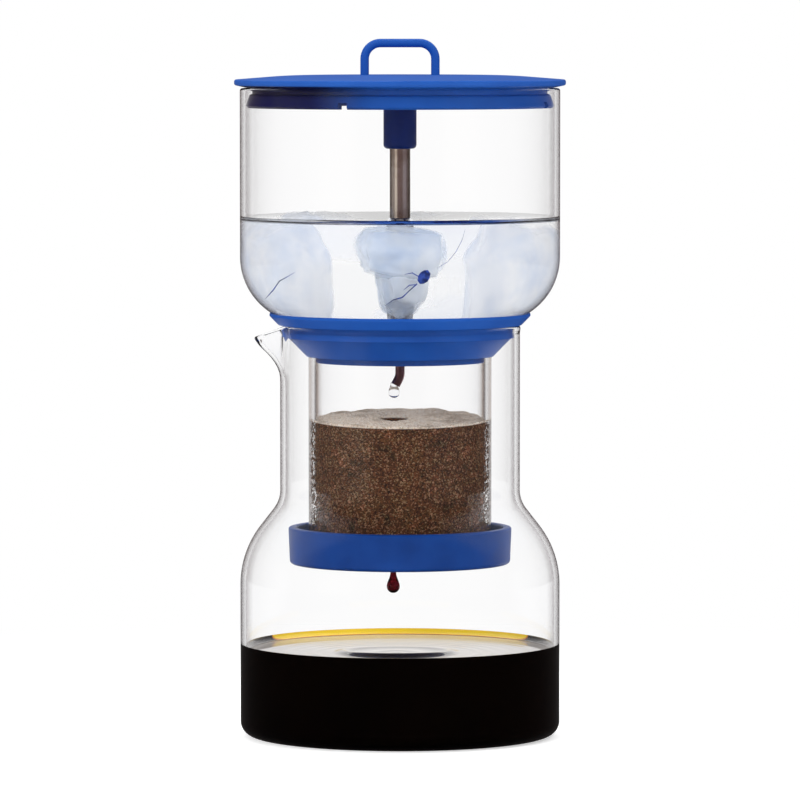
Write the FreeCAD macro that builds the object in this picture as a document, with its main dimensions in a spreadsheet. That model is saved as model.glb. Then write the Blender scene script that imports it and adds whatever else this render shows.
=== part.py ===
"""Cold brew coffee maker: a carafe, a drip chamber and an iced-water tower, stacked and taken apart by hand.

Frame: millimetres, +Z up, origin at the centre of the carafe's foot. The pouring lip points to -X.
Every piece is turned about Z unless its function says otherwise. Sizes are cells of the Sizes sheet, and
each sketch is bound to them by expressions.
"""
import FreeCAD, Part
import Sketcher

import math
import os
import re

from FreeCAD import Placement, Rotation, Vector

# --- driving dimensions (mm and degrees) ---------------------------------------------------------------

SIZES = {
    # carafe
    "carafe_radius": 61.4,        # outside of the body
    "carafe_height": 158.0,       # foot to rim
    "carafe_wall": 2.0,
    "carafe_floor": 2.6,
    "foot_round": 5.5,
    "neck_clearance": 1.15,       # base dish to the bore of the straight neck
    "shoulder_height": 70.9,      # where the body's side would meet the cone of the shoulder
    "shoulder_angle": 37.8,       # cone of the shoulder, from the vertical
    "shoulder_round": 36.5,
    "throat_round": 12.0,
    "rim_round": 0.9,
    "lip_length": 19.0,           # rim down to where the pouring lip leaves the neck
    "lip_reach": 9.6,             # how far the lip stands out from the neck
    "lip_drop": 4.3,              # how far its tip lies under the rim
    "lip_root_width": 26.0,
    "lip_tip_width": 17.0,
    # fits
    "soft_gap": 0.3,              # silicone to glass where a piece lifts off
    "press_gap": 0.02,            # pieces pressed or moulded together for good
    "running_gap": 0.06,          # shafts in their bores
    # neck seal
    "seal_overhang": 4.15,        # how far the seal stands out past the neck
    "seal_flange_width": 0.75,    # neck's outside to the inner edge of the slanted underside
    "seal_rise": 4.9,             # flange underside to the cup's lip
    "seal_belly": 3.5,            # flange underside to the widest point
    "seal_lean": 0.3,             # how far the lip leans in from there
    "seal_edge": 0.7,             # width of the bowl's lowest edge
    "seal_plug_gap": 0.75,        # plug to the neck's bore
    "seal_plug_depth": 2.3,
    "seal_fin_depth": 2.4,
    "seal_bowl_depth": 12.05,     # flange underside to the lowest edge of the bowl
    "seal_wall": 2.9,
    "seal_socket_wall": 3.45,     # tube's bore to the open centre
    "seal_ledge_fall": 0.8,       # slope of the ledge over the tube
    "seal_ledge_end": 2.5,        # where the ledge turns down, from the passage
    "seal_throat_fall": 3.5,
    "soft_round": 0.6,            # moulded edges of the silicone pieces
    "ledge_round": 1.5,
    "seal_spigot": 2.3,           # how far the inner spigot hangs below the bowl
    "socket_depth": 5.8,
    # chamber
    "tube_radius": 35.2,
    "tube_wall": 2.8,
    "tube_length": 82.0,
    "tube_round": 0.8,
    "dish_overhang": 7.7,        # how far the dish stands out past the tube
    "dish_taper": 0.55,           # how much smaller the dish is at its lower edge
    "dish_wall": 3.3,
    "dish_lip": 10.3,             # tube's lower end to the dish's upper edge
    "dish_grip": 4.0,             # tube's lower end to the floor of the gap round it
    "dish_floor": 3.4,
    "dish_round": 1.5,
    "spigot_wall": 2.7,
    "spigot_height": 3.6,
    "funnel_step": 0.9,           # socket's seat to the funnel's upper edge
    "funnel_fall": 1.6,
    "nub_radius": 5.2,
    "nub_length": 3.1,
    "nub_taper": 1.2,
    "nub_bore": 1.6,
    "rib_count": 8,
    "rib_width": 1.6,
    "rib_start": 7.0,
    "rib_drop": 0.7,              # rib's top under the spigot's
    # filter
    "filter_height": 2.4,
    "filter_rim": 2.4,            # width of the rim ring, seen from above
    "filter_skin": 0.6,           # thickness of the rim ring's own sheet
    "filter_round": 0.4,
    "plate_thickness": 0.8,
    "mesh_thickness": 0.3,
    "hole_radius": 2.1,
    "hole_pitch": 7.6,
    "hole_rings": 3,
    # water tower
    "tower_radius": 61.4,
    "tower_height": 90.1,
    "tower_rise": 0.6,            # flange underside to the tower's floor
    "tower_wall": 2.0,
    "tower_floor": 2.5,
    "tower_corner": 25.5,
    # drip valve
    "valve_radius": 4.0,
    "valve_wall": 1.0,
    "valve_length": 77.1,
    "valve_stub": 4.0,            # how far the valve tube hangs below the tower's floor
    "grommet_neck": 6.0,
    "grommet_flange": 9.0,
    "grommet_thickness": 2.0,
    "window_count": 4,
    "window_width": 2.0,
    "window_height": 5.0,
    "seat_rise": 0.5,             # top of the seat over the tower's inner floor
    "seat_mouth": 2.3,
    "orifice": 0.8,
    "needle_angle": 30.0,         # needle's cone, from its axis
    "stem_radius": 1.5,
    "needle_lift": 0.6,           # how far the needle stands off its seat at rest
    "spout_radius": 1.8,
    "spout_bore": 1.15,
    "spout_socket": 3.0,
    "spout_drop": 16.5,           # valve tube's lower end to the spout's bend
    "spout_bend": 28.0,
    "spout_tip": 3.7,             # bend to the spout's end
    "spout_curve": 6.0,
    "bush_length": 8.0,
    "bush_head": 1.0,
    "ring_section": 0.48,
    # knob
    "knob_radius": 6.35,
    "knob_height": 18.2,
    "knob_cover": 6.2,            # how far the knob hangs over the valve tube
    "knob_gap": 0.45,             # knob's bore to the valve tube
    "knob_round": 1.6,
    "knob_top": 1.6,
    "core_clearance": 2.2,        # valve tube's top to the knob's core
    "screw_radius": 1.25,
    "hex_across": 1.3,
    # lid
    "lid_overhang": 2.2,
    "lid_lip": 4.0,               # width of the underside that rises to the edge
    "lid_rise": 0.9,              # how far it rises over the tower's rim
    "lid_slope": 21.6,            # width of the sloping outer ring
    "lid_thickness": 4.7,         # at the centre, over the tower's rim
    "lid_edge": 2.1,              # at the edge
    "lid_web": 3.8,               # at the centre
    "dome_round": 200.0,
    "skirt_inset": 2.8,           # tower's bore to the outside of the skirt's neck
    "skirt_flare": 1.0,           # how far the skirt steps out under its neck
    "skirt_wall": 2.4,
    "skirt_depth": 7.8,
    "skirt_step": 2.4,            # length of the neck
    "skirt_bevel": 0.8,
    "skirt_round": 1.2,
    "vent_count": 4,
    "vent_width": 3.5,
    "vent_height": 2.5,
    "vent_angle": -21.4,
    "handle_width": 30.4,
    "handle_height": 13.9,
    "handle_rod": 1.65,
    "handle_corner": 7.7,
}

# --- places worked out from the sizes, as expressions ---------------------------------------------------

TUBE_BORE = "(tube_radius - tube_wall)"
DISH_RADIUS = "(tube_radius + dish_overhang)"
NECK_BORE = f"({DISH_RADIUS} + neck_clearance)"
NECK_RADIUS = f"({NECK_BORE} + carafe_wall)"
CARAFE_BORE = "(carafe_radius - carafe_wall)"
THROAT_Z = f"(shoulder_height + (carafe_radius - {NECK_RADIUS}) / tan(shoulder_angle))"
WALL_SHIFT = "(carafe_wall * tan(shoulder_angle / 2))"
RIM_MIDDLE = f"({NECK_RADIUS} - carafe_wall / 2)"
LIP_FOOT_Z = "(carafe_height - lip_length)"

FLANGE_Z = "(carafe_height + soft_gap)"
PLUG_RADIUS = f"({NECK_BORE} - seal_plug_gap)"
FIN_RADIUS = f"({NECK_BORE} - soft_gap)"
FIN_TOP = f"({FLANGE_Z} - seal_plug_depth)"
FIN_Z = f"({FIN_TOP} - seal_fin_depth)"
BOWL_Z = f"({FLANGE_Z} - seal_bowl_depth)"
TUBE_TOP = f"({BOWL_Z} + socket_depth)"
SEAL_RADIUS = f"({NECK_RADIUS} + seal_overhang)"
SEAL_PASSAGE = f"({TUBE_BORE} - seal_socket_wall)"

TUBE_Z = f"({TUBE_TOP} - tube_length)"
DISH_TOP = f"({TUBE_Z} + dish_lip)"
DISH_Z = f"({TUBE_Z} - soft_gap - dish_floor)"
SEAT_Z = f"({TUBE_Z} - soft_gap)"
SPIGOT_RADIUS = "(tube_radius - tube_wall - soft_gap)"
SPIGOT_BORE = f"({SPIGOT_RADIUS} - spigot_wall)"
SPIGOT_TOP = f"({TUBE_Z} + spigot_height)"
FUNNEL_TOP = f"({SEAT_Z} + funnel_step)"
FUNNEL_Z = f"({FUNNEL_TOP} - funnel_fall)"

FILTER_Z = f"({SPIGOT_TOP} + soft_gap)"
FILTER_RADIUS = SPIGOT_RADIUS
PLATE_Z = f"({FILTER_Z} + filter_skin)"
PLATE_RADIUS = f"({FILTER_RADIUS} - filter_skin)"
MESH_Z = f"({PLATE_Z} + plate_thickness)"

TOWER_Z = f"({FLANGE_Z} + tower_rise)"
TOWER_TOP = f"({TOWER_Z} + tower_height)"
TOWER_BORE = "(tower_radius - tower_wall)"
TOWER_FLOOR_Z = f"({TOWER_Z} + tower_floor)"

VALVE_BORE = "(valve_radius - valve_wall)"
VALVE_Z = f"({TOWER_Z} - valve_stub)"
VALVE_TOP = f"({VALVE_Z} + valve_length)"
GROMMET_TOP = f"({TOWER_FLOOR_Z} + grommet_thickness)"
SEAT_TOP = f"({TOWER_FLOOR_Z} + seat_rise)"
ORIFICE_TOP = f"({SEAT_TOP} - (seat_mouth - orifice) / tan(needle_angle))"
SPOUT_TOP = f"({VALVE_Z} + spout_socket)"
NEEDLE_Z = f"({ORIFICE_TOP} - orifice / tan(needle_angle) + needle_lift)"
NEEDLE_SHOULDER = f"({NEEDLE_Z} + stem_radius / tan(needle_angle))"
BUSH_Z = f"({VALVE_TOP} - bush_length)"
RING_Z = f"({VALVE_TOP} - bush_length / 2)"
RING_PITCH = "(stem_radius + running_gap + ring_section)"

KNOB_Z = f"({VALVE_TOP} - knob_cover)"
KNOB_TOP = f"({KNOB_Z} + knob_height)"
KNOB_BORE = "(valve_radius + knob_gap)"
CORE_Z = f"({VALVE_TOP} + core_clearance)"
CORE_TOP = f"({KNOB_TOP} - knob_top)"
CORE_RADIUS = f"({KNOB_BORE} - press_gap)"
SCREW_Z = f"(({CORE_Z} + {CORE_TOP}) / 2)"

LID_Z = f"({TOWER_TOP} + soft_gap)"
LID_RADIUS = "(tower_radius + lid_overhang)"
LID_TOP = f"({LID_Z} + lid_thickness)"
SKIRT_RADIUS = f"({TOWER_BORE} - skirt_inset)"
SKIRT_Z = f"({LID_Z} - skirt_depth)"
SKIRT_SEAL = f"({TOWER_BORE} - soft_gap)"
HANDLE_TOP = f"({LID_TOP} + handle_height)"

doc = FreeCAD.newDocument("ColdBrewCoffeeMaker")
sheet = doc.addObject("Spreadsheet::Sheet", "Sizes")
parts = []


def fill_sheet():
    """One row per driving dimension: its name in column A, its value in column B."""
    for row, (name, size) in enumerate(SIZES.items(), start=1):
        sheet.set(f"A{row}", name)
        sheet.set(f"B{row}", str(size))
        sheet.setAlias(f"B{row}", name)
    doc.recompute()


def bound(text):
    """The expression with each name of a size turned into its cell of the sheet."""
    return re.sub(r"[a-z_]+", lambda word: f"Sizes.{word[0]}" if word[0] in SIZES else word[0], text)


def value(text):
    """The expression's present value."""
    return float(sheet.evalExpression(bound(text)))


# --- sketch and feature helpers -------------------------------------------------------------------------

def new_body(name):
    """An empty body whose label names the piece."""
    body = doc.addObject("PartDesign::Body", name)
    body.Label = name
    parts.append(body)
    return body


def origin_of(body, role):
    """A plane or an axis of the body's own origin."""
    return next(feature for feature in body.Origin.OriginFeatures if feature.Role == role)


def new_sketch(body, name, plane="XZ_Plane", height=None, turn=0.0):
    """A sketch on an origin plane, raised along its normal and turned about its own upright axis."""
    sketch = body.newObject("Sketcher::SketchObject", name)
    sketch.AttachmentSupport = [(origin_of(body, plane), "")]
    sketch.MapMode = "FlatFace"
    lift = value(height) if height else 0.0
    sketch.AttachmentOffset = Placement(Vector(0, 0, lift), Rotation(Vector(0, 1, 0), turn))
    if height:
        sketch.setExpression("AttachmentOffset.Base.z", bound(height))
    return sketch


def pin_point(sketch, geometry, position, across, up):
    """Hold a point at two bound distances from the sketch's origin."""
    for kind, axis, text in (("DistanceX", -2, across), ("DistanceY", -1, up)):
        if text == "0":
            sketch.addConstraint(Sketcher.Constraint("PointOnObject", geometry, position, axis))
            continue
        index = sketch.addConstraint(Sketcher.Constraint(kind, -1, 1, geometry, position, value(text)))
        sketch.setExpression(f"Constraints[{index}]", bound(text))


def outline(sketch, corners, closed=True):
    """Straight sides through the corners, each (across, up) or, where it is rounded, (across, up, radius).

    Every corner is bound to the sheet, and so is every radius.
    """
    count = len(corners)
    points = [Vector(value(corner[0]), value(corner[1]), 0) for corner in corners]
    sides = range(count if closed else count - 1)
    ways = [(points[(side + 1) % count] - points[side]).normalize() for side in sides]
    arcs = {}
    trims = [0.0] * count
    for index, corner in enumerate(corners):
        if len(corner) < 3:
            continue
        before, after = ways[index - 1], ways[index]
        turn = before.getAngle(after)
        radius = value(corner[2])
        trims[index] = radius * math.tan(turn / 2)
        inward = (after - before).normalize()
        centre = points[index] + inward * (radius / math.cos(turn / 2))
        start = points[index] - before * trims[index]
        end = points[index] + after * trims[index]
        arcs[index] = Part.Arc(start, centre - inward * radius, end)
    lines = []
    for side in sides:
        start = points[side] + ways[side] * trims[side]
        end = points[(side + 1) % count] - ways[side] * trims[(side + 1) % count]
        lines.append(sketch.addGeometry(Part.LineSegment(start, end), False))
    for index, corner in enumerate(corners):
        before = lines[index - 1] if closed or index > 0 else None
        after = lines[index] if index < len(lines) else None
        if index in arcs:
            round_corner(sketch, before, after, arcs[index], points[index], corner)
        elif before is None or after is None:
            pin_point(sketch, *((after, 1) if before is None else (before, 2)), corner[0], corner[1])
        else:
            sketch.addConstraint(Sketcher.Constraint("Coincident", before, 2, after, 1))
            pin_point(sketch, after, 1, corner[0], corner[1])
    return sketch


def round_corner(sketch, before, after, arc, point, corner):
    """An arc tangent to both sides, with the sharp corner kept as the bound construction point."""
    across, up, radius = corner
    curve = sketch.addGeometry(arc, False)
    sharp = sketch.addGeometry(Part.Point(point), True)
    pin_point(sketch, sharp, 1, across, up)
    sketch.addConstraint(Sketcher.Constraint("PointOnObject", sharp, 1, before))
    sketch.addConstraint(Sketcher.Constraint("PointOnObject", sharp, 1, after))
    meets_before = sketch.getPoint(before, 2).distanceToPoint(sketch.getPoint(curve, 1))
    meets_after = sketch.getPoint(after, 1).distanceToPoint(sketch.getPoint(curve, 1))
    first, last = (1, 2) if meets_before < meets_after else (2, 1)
    sketch.addConstraint(Sketcher.Constraint("Tangent", before, 2, curve, first))
    sketch.addConstraint(Sketcher.Constraint("Tangent", after, 1, curve, last))
    index = sketch.addConstraint(Sketcher.Constraint("Radius", curve, value(radius)))
    sketch.setExpression(f"Constraints[{index}]", bound(radius))


def circle(sketch, radius, across="0", up="0"):
    """A bound circle."""
    centre = Vector(value(across), value(up), 0)
    geometry = sketch.addGeometry(Part.Circle(centre, Vector(0, 0, 1), value(radius)), False)
    pin_point(sketch, geometry, 3, across, up)
    index = sketch.addConstraint(Sketcher.Constraint("Radius", geometry, value(radius)))
    sketch.setExpression(f"Constraints[{index}]", bound(radius))
    return sketch


def turned(body, corners, name="Turned", kind="PartDesign::Revolution"):
    """Turn an outline about Z, to add it (Revolution) or to cut it (Groove)."""
    sketch = outline(new_sketch(body, name + "Outline"), corners)
    feature = body.newObject(kind, name)
    feature.Profile = sketch
    feature.ReferenceAxis = (sketch, ["V_Axis"])
    feature.Angle = 360.0
    return feature


def polar(body, feature, count):
    """Repeat a feature round Z, a bound number of times."""
    pattern = body.newObject("PartDesign::PolarPattern", feature.Name + "Pattern")
    pattern.Originals = [feature]
    pattern.Axis = (origin_of(body, "Z_Axis"), [""])
    pattern.Angle = 360.0
    pattern.setExpression("Occurrences", bound(count))
    body.Tip = pattern
    return pattern


def cut_slot(body, name, corners, plane, length, turn=0.0, both_ways=False):
    """Pocket an outline outwards from a plane through the axis."""
    pocket = body.newObject("PartDesign::Pocket", name)
    sketch = outline(new_sketch(body, name + "Outline", plane, turn=turn), corners)
    pocket.Profile = sketch
    pocket.SideType = "Symmetric" if both_ways else "One side"
    pocket.Reversed = True
    pocket.setExpression("Length", bound(length))
    body.Tip = pocket
    return pocket


# --- carafe ---------------------------------------------------------------------------------------------

LIP_SECTIONS = 4


def lip_circle(body, name, share, offset):
    """One level section of the lip: it widens outwards along a smooth step from the neck to the tip."""
    tip_z = "(carafe_height - lip_drop)"
    height = f"({LIP_FOOT_Z} + ({tip_z} - {LIP_FOOT_Z}) * {share:.4f})"
    eased = min(share, 1.0) ** 2 * (3 - 2 * min(share, 1.0))
    reach = f"({NECK_RADIUS} - carafe_wall / 4 + (lip_reach + carafe_wall / 4) * {eased:.4f})"
    half_width = f"((lip_root_width + (lip_tip_width - lip_root_width) * {min(share, 1.0):.4f}) / 2)"
    sketch = new_sketch(body, name, "XY_Plane", height)
    return circle(sketch, f"({half_width} - {offset})", f"(-({reach} - {half_width}))")


def lip_loft(body, name, kind, offset):
    """Loft through the lip's sections. The last lies over the rim, and the slanted trim takes it off."""
    shares = [step / (LIP_SECTIONS - 1) for step in range(LIP_SECTIONS)]
    shares.append(1.0 + 1.0 / (LIP_SECTIONS - 1))
    sections = [lip_circle(body, f"{name}Section{step}", share, offset) for step, share in enumerate(shares)]
    loft = body.newObject(kind, name)
    loft.Profile = sections[0]
    loft.Sections = sections[1:]
    loft.Ruled = False
    body.Tip = loft
    return loft


def make_carafe():
    """Blown glass: a shouldered body and a straight neck of even wall, with a pouring lip drawn out of it."""
    body = new_body("carafe")
    turned(body, [
        ("0", "0"),
        ("carafe_radius", "0", "foot_round"),
        ("carafe_radius", "shoulder_height", "shoulder_round"),
        (NECK_RADIUS, THROAT_Z, "throat_round"),
        (NECK_RADIUS, "carafe_height", "rim_round"),
        ("0", "carafe_height"),
    ], "Outside")
    lip_loft(body, "Lip", "PartDesign::AdditiveLoft", "0")
    turned(body, [
        ("0", "carafe_floor"),
        (CARAFE_BORE, "carafe_floor", "(foot_round - carafe_wall)"),
        (CARAFE_BORE, f"(shoulder_height - {WALL_SHIFT})", "(shoulder_round - carafe_wall)"),
        (NECK_BORE, f"({THROAT_Z} - {WALL_SHIFT})", "(throat_round + carafe_wall)"),
        (NECK_BORE, "carafe_height", "rim_round"),
        (RIM_MIDDLE, "carafe_height"),
        (RIM_MIDDLE, "(carafe_height + lip_drop)"),
        ("0", "(carafe_height + lip_drop)"),
    ], "Inside", "PartDesign::Groove")
    lip_loft(body, "LipInside", "PartDesign::SubtractiveLoft", "carafe_wall")
    tip = f"({NECK_RADIUS} + lip_reach)"
    fall = f"(lip_drop * 2 * lip_reach / ({tip} - {NECK_BORE} + carafe_wall))"
    cut_slot(body, "LipTrim", [
        (f"(-{NECK_BORE} + carafe_wall)", "carafe_height"),
        (f"(-{tip} - lip_reach)", f"(carafe_height - lip_drop - {fall})"),
        (f"(-{tip} - lip_reach)", "(carafe_height + carafe_height / 2)"),
        (f"(-{NECK_BORE} + carafe_wall)", "(carafe_height + carafe_height / 2)"),
    ], "XZ_Plane", f"({NECK_RADIUS} * 2)", both_ways=True)
    return body


# --- neck seal and chamber ------------------------------------------------------------------------------

def make_neck_seal():
    """Silicone ring: a cup for the tower over a flange on the rim, a plug with a fin, and the tube's socket."""
    body = new_body("neck_seal")
    inner = f"({PLUG_RADIUS} - seal_wall)"
    ledge_z = f"({TUBE_TOP} + seal_wall)"
    turned(body, [
        (SEAL_PASSAGE, f"({BOWL_Z} - seal_spigot)"),
        (f"({TUBE_BORE} - press_gap)", f"({BOWL_Z} - seal_spigot)", "soft_round"),
        (f"({TUBE_BORE} - press_gap)", f"({TUBE_TOP} + press_gap)"),
        ("(tube_radius + press_gap)", f"({TUBE_TOP} + press_gap)"),
        ("(tube_radius + press_gap)", BOWL_Z),
        ("(tube_radius + press_gap + seal_edge)", BOWL_Z),
        (f"({FIN_RADIUS} - seal_edge)", FIN_Z),
        (FIN_RADIUS, FIN_Z),
        (FIN_RADIUS, FIN_TOP),
        (PLUG_RADIUS, FIN_TOP),
        (PLUG_RADIUS, FLANGE_Z),
        (f"({NECK_RADIUS} + seal_flange_width)", FLANGE_Z),
        (SEAL_RADIUS, f"({FLANGE_Z} + seal_belly)", "soft_round"),
        (f"({SEAL_RADIUS} - seal_lean)", f"({FLANGE_Z} + seal_rise)"),
        (inner, f"({FLANGE_Z} + seal_rise)"),
        (inner, f"({ledge_z} + seal_ledge_fall)", "ledge_round"),
        (f"({SEAL_PASSAGE} + seal_ledge_end)", ledge_z, "ledge_round"),
        (SEAL_PASSAGE, f"({ledge_z} - seal_throat_fall)"),
    ])
    turned(body, [
        ("0", f"({TOWER_Z} - soft_gap)"),
        ("(tower_radius + soft_gap)", f"({TOWER_Z} - soft_gap)", "(tower_corner + soft_gap)"),
        ("(tower_radius + soft_gap)", f"({TOWER_Z} + 2 * tower_corner)"),
        ("0", f"({TOWER_Z} + 2 * tower_corner)"),
    ], "Cup", "PartDesign::Groove")
    return body


def make_chamber_tube():
    """Open glass tube for the grounds, with melted ends."""
    return turned(new_body("chamber_tube"), [
        (TUBE_BORE, TUBE_Z, "tube_round"),
        ("tube_radius", TUBE_Z, "tube_round"),
        ("tube_radius", TUBE_TOP, "tube_round"),
        (TUBE_BORE, TUBE_TOP, "tube_round"),
    ])


def make_base_dish():
    """Silicone dish: a high lip round a gap, the tube's socket, and a ribbed funnel floor over a drip nub."""
    body = new_body("base_dish")
    socket = "(tube_radius + soft_gap)"
    shelf_z = f"({TUBE_Z} + dish_grip)"
    turned(body, [
        ("nub_bore", f"({DISH_Z} - nub_length)"),
        ("(nub_radius - nub_taper)", f"({DISH_Z} - nub_length)", "soft_round"),
        ("nub_radius", DISH_Z),
        (f"({DISH_RADIUS} - dish_taper)", DISH_Z, "dish_round"),
        (DISH_RADIUS, DISH_TOP, "(dish_wall / 4)"),
        (f"({DISH_RADIUS} - dish_wall)", DISH_TOP, "(dish_wall / 4)"),
        (f"({DISH_RADIUS} - dish_wall)", shelf_z, "soft_round"),
        (socket, shelf_z, "soft_round"),
        (socket, SEAT_Z),
        (SPIGOT_RADIUS, SEAT_Z),
        (SPIGOT_RADIUS, SPIGOT_TOP, "soft_round"),
        (SPIGOT_BORE, SPIGOT_TOP, "soft_round"),
        (SPIGOT_BORE, FUNNEL_TOP),
        ("nub_bore", FUNNEL_Z),
    ])
    rib = body.newObject("PartDesign::Pad", "Rib")
    rib_root = f"({FUNNEL_Z} - rib_drop)"
    rib_end = f"({SPIGOT_BORE} + spigot_wall / 4)"
    rib_top = f"({SPIGOT_TOP} - rib_drop)"
    rib.Profile = outline(new_sketch(body, "RibOutline"), [
        ("rib_start", rib_root),
        (rib_end, rib_root),
        (rib_end, rib_top),
        ("rib_start", rib_top),
    ])
    rib.SideType = "Symmetric"
    rib.setExpression("Length", bound("rib_width"))
    body.Tip = rib
    polar(body, rib, "rib_count")
    return body


# --- filter ---------------------------------------------------------------------------------------------

def make_filter_ring():
    """Rolled steel rim: a channel open to the inside that clamps the plate and the mesh."""
    inner = f"({FILTER_RADIUS} - filter_rim)"
    slot_top = f"({MESH_Z} + mesh_thickness)"
    return turned(new_body("filter_ring"), [
        (inner, FILTER_Z),
        (FILTER_RADIUS, FILTER_Z, "filter_round"),
        (FILTER_RADIUS, f"({FILTER_Z} + filter_height)", "filter_round"),
        (inner, f"({FILTER_Z} + filter_height)"),
        (inner, slot_top),
        (PLATE_RADIUS, slot_top),
        (PLATE_RADIUS, PLATE_Z),
        (inner, PLATE_Z),
    ])


def make_filter_plate():
    """Perforated disc: a centre hole inside rings of holes, each ring with six more than the last."""
    body = new_body("filter_plate")
    disc = body.newObject("PartDesign::Pad", "Disc")
    disc.Profile = circle(new_sketch(body, "DiscOutline", "XY_Plane", PLATE_Z), f"({PLATE_RADIUS} - press_gap)")
    disc.setExpression("Length", bound("plate_thickness"))
    drill(body, "CentreHole", "0")
    for ring in range(1, int(SIZES["hole_rings"]) + 1):
        hole = drill(body, f"Hole{ring}", f"(hole_pitch * {ring})")
        polar(body, hole, f"({ring} * 6)")
    return body


def drill(body, name, across):
    """One round hole through the plate."""
    hole = body.newObject("PartDesign::Pocket", name)
    hole.Profile = circle(new_sketch(body, name + "Outline", "XY_Plane", PLATE_Z), "hole_radius", across)
    hole.SideType = "Symmetric"
    hole.setExpression("Length", bound("(plate_thickness * 4)"))
    body.Tip = hole
    return hole


def make_filter_mesh():
    """Woven mesh as a plain thin disc on the plate."""
    mesh = doc.addObject("Part::Cylinder", "filter_mesh")
    mesh.Label = "filter_mesh"
    mesh.setExpression("Radius", bound(f"({PLATE_RADIUS} - press_gap)"))
    mesh.setExpression("Height", bound("mesh_thickness"))
    mesh.setExpression("Placement.Base.z", bound(MESH_Z))
    parts.append(mesh)
    return mesh


# --- water tower ----------------------------------------------------------------------------------------

def make_water_tower():
    """Glass vessel with a large lower corner and the valve's hole in its floor."""
    return turned(new_body("water_tower"), [
        ("grommet_neck", TOWER_Z),
        ("tower_radius", TOWER_Z, "tower_corner"),
        ("tower_radius", TOWER_TOP, "rim_round"),
        (TOWER_BORE, TOWER_TOP, "rim_round"),
        (TOWER_BORE, TOWER_FLOOR_Z, "(tower_corner - tower_wall)"),
        ("grommet_neck", TOWER_FLOOR_Z),
    ])


def make_valve_grommet():
    """Silicone bobbin in the floor's hole, with a flange on each side of the glass."""
    bore = "(valve_radius + press_gap)"
    neck = "(grommet_neck - press_gap)"
    flange_z = f"({TOWER_Z} - grommet_thickness)"
    return turned(new_body("valve_grommet"), [
        (bore, flange_z),
        ("grommet_flange", flange_z, "(grommet_thickness / 3)"),
        ("grommet_flange", TOWER_Z),
        (neck, TOWER_Z),
        (neck, TOWER_FLOOR_Z),
        ("grommet_flange", TOWER_FLOOR_Z),
        ("grommet_flange", GROMMET_TOP, "(grommet_thickness / 3)"),
        (bore, GROMMET_TOP),
    ])


def make_valve_tube():
    """Steel tube with four inlet windows just over the grommet."""
    body = new_body("valve_tube")
    turned(body, [
        (VALVE_BORE, VALVE_Z),
        ("valve_radius", VALVE_Z),
        ("valve_radius", VALVE_TOP),
        (VALVE_BORE, VALVE_TOP),
    ])
    window_z = f"({GROMMET_TOP} + window_width / 2)"
    window = cut_slot(body, "Window", [
        ("(-window_width / 2)", window_z),
        ("(window_width / 2)", window_z),
        ("(window_width / 2)", f"({window_z} + window_height)"),
        ("(-window_width / 2)", f"({window_z} + window_height)"),
    ], "YZ_Plane", "(valve_radius * 2)")
    polar(body, window, "window_count")
    return body


def make_valve_seat():
    """Turned seat: a conical mouth over the orifice, and the spout's socket below."""
    return turned(new_body("valve_seat"), [
        ("(spout_radius + press_gap)", VALVE_Z),
        (f"({VALVE_BORE} - press_gap)", VALVE_Z),
        (f"({VALVE_BORE} - press_gap)", SEAT_TOP),
        ("seat_mouth", SEAT_TOP),
        ("orifice", ORIFICE_TOP),
        ("orifice", f"({SPOUT_TOP} + press_gap)"),
        ("(spout_radius + press_gap)", f"({SPOUT_TOP} + press_gap)"),
    ])


def make_drip_spout():
    """Thin tube pressed into the seat, straight down and then bent to one side at its end."""
    body = new_body("drip_spout")
    bend_z = f"({VALVE_Z} - spout_drop)"
    path = outline(new_sketch(body, "Path"), [
        ("0", SPOUT_TOP),
        ("0", bend_z, "spout_curve"),
        ("(-spout_tip * sin(spout_bend))", f"({bend_z} - spout_tip * cos(spout_bend))"),
    ], closed=False)
    section = new_sketch(body, "Section", "XY_Plane", SPOUT_TOP)
    circle(section, "spout_radius")
    circle(section, "spout_bore")
    pipe = body.newObject("PartDesign::AdditivePipe", "Pipe")
    pipe.Profile = section
    pipe.Spine = path
    body.Tip = pipe
    return body


def make_stem_bush():
    """Headed bush pressed into the tube's top, with an inner groove for the o-ring."""
    bore = "(stem_radius + running_gap)"
    groove = f"({RING_PITCH} + ring_section + press_gap)"
    half = "(ring_section + press_gap)"
    return turned(new_body("stem_bush"), [
        (bore, BUSH_Z),
        (f"({VALVE_BORE} - press_gap)", BUSH_Z),
        (f"({VALVE_BORE} - press_gap)", f"({VALVE_TOP} + press_gap)"),
        ("valve_radius", f"({VALVE_TOP} + press_gap)"),
        ("valve_radius", f"({VALVE_TOP} + bush_head)"),
        (bore, f"({VALVE_TOP} + bush_head)"),
        (bore, f"({RING_Z} + {half})"),
        (groove, f"({RING_Z} + {half})"),
        (groove, f"({RING_Z} - {half})"),
        (bore, f"({RING_Z} - {half})"),
    ])


def make_stem_o_ring():
    """O-ring in the bush's groove, just round the stem."""
    ring = doc.addObject("Part::Torus", "stem_o_ring")
    ring.Label = "stem_o_ring"
    ring.setExpression("Radius1", bound(RING_PITCH))
    ring.setExpression("Radius2", bound("ring_section"))
    ring.setExpression("Placement.Base.z", bound(RING_Z))
    parts.append(ring)
    return ring


# --- needle and knob ------------------------------------------------------------------------------------

def make_needle_stem():
    """Long stem with a conical needle that closes on the seat."""
    return turned(new_body("needle_stem"), [
        ("0", NEEDLE_Z),
        ("stem_radius", NEEDLE_SHOULDER),
        ("stem_radius", CORE_TOP),
        ("0", CORE_TOP),
    ])


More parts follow.
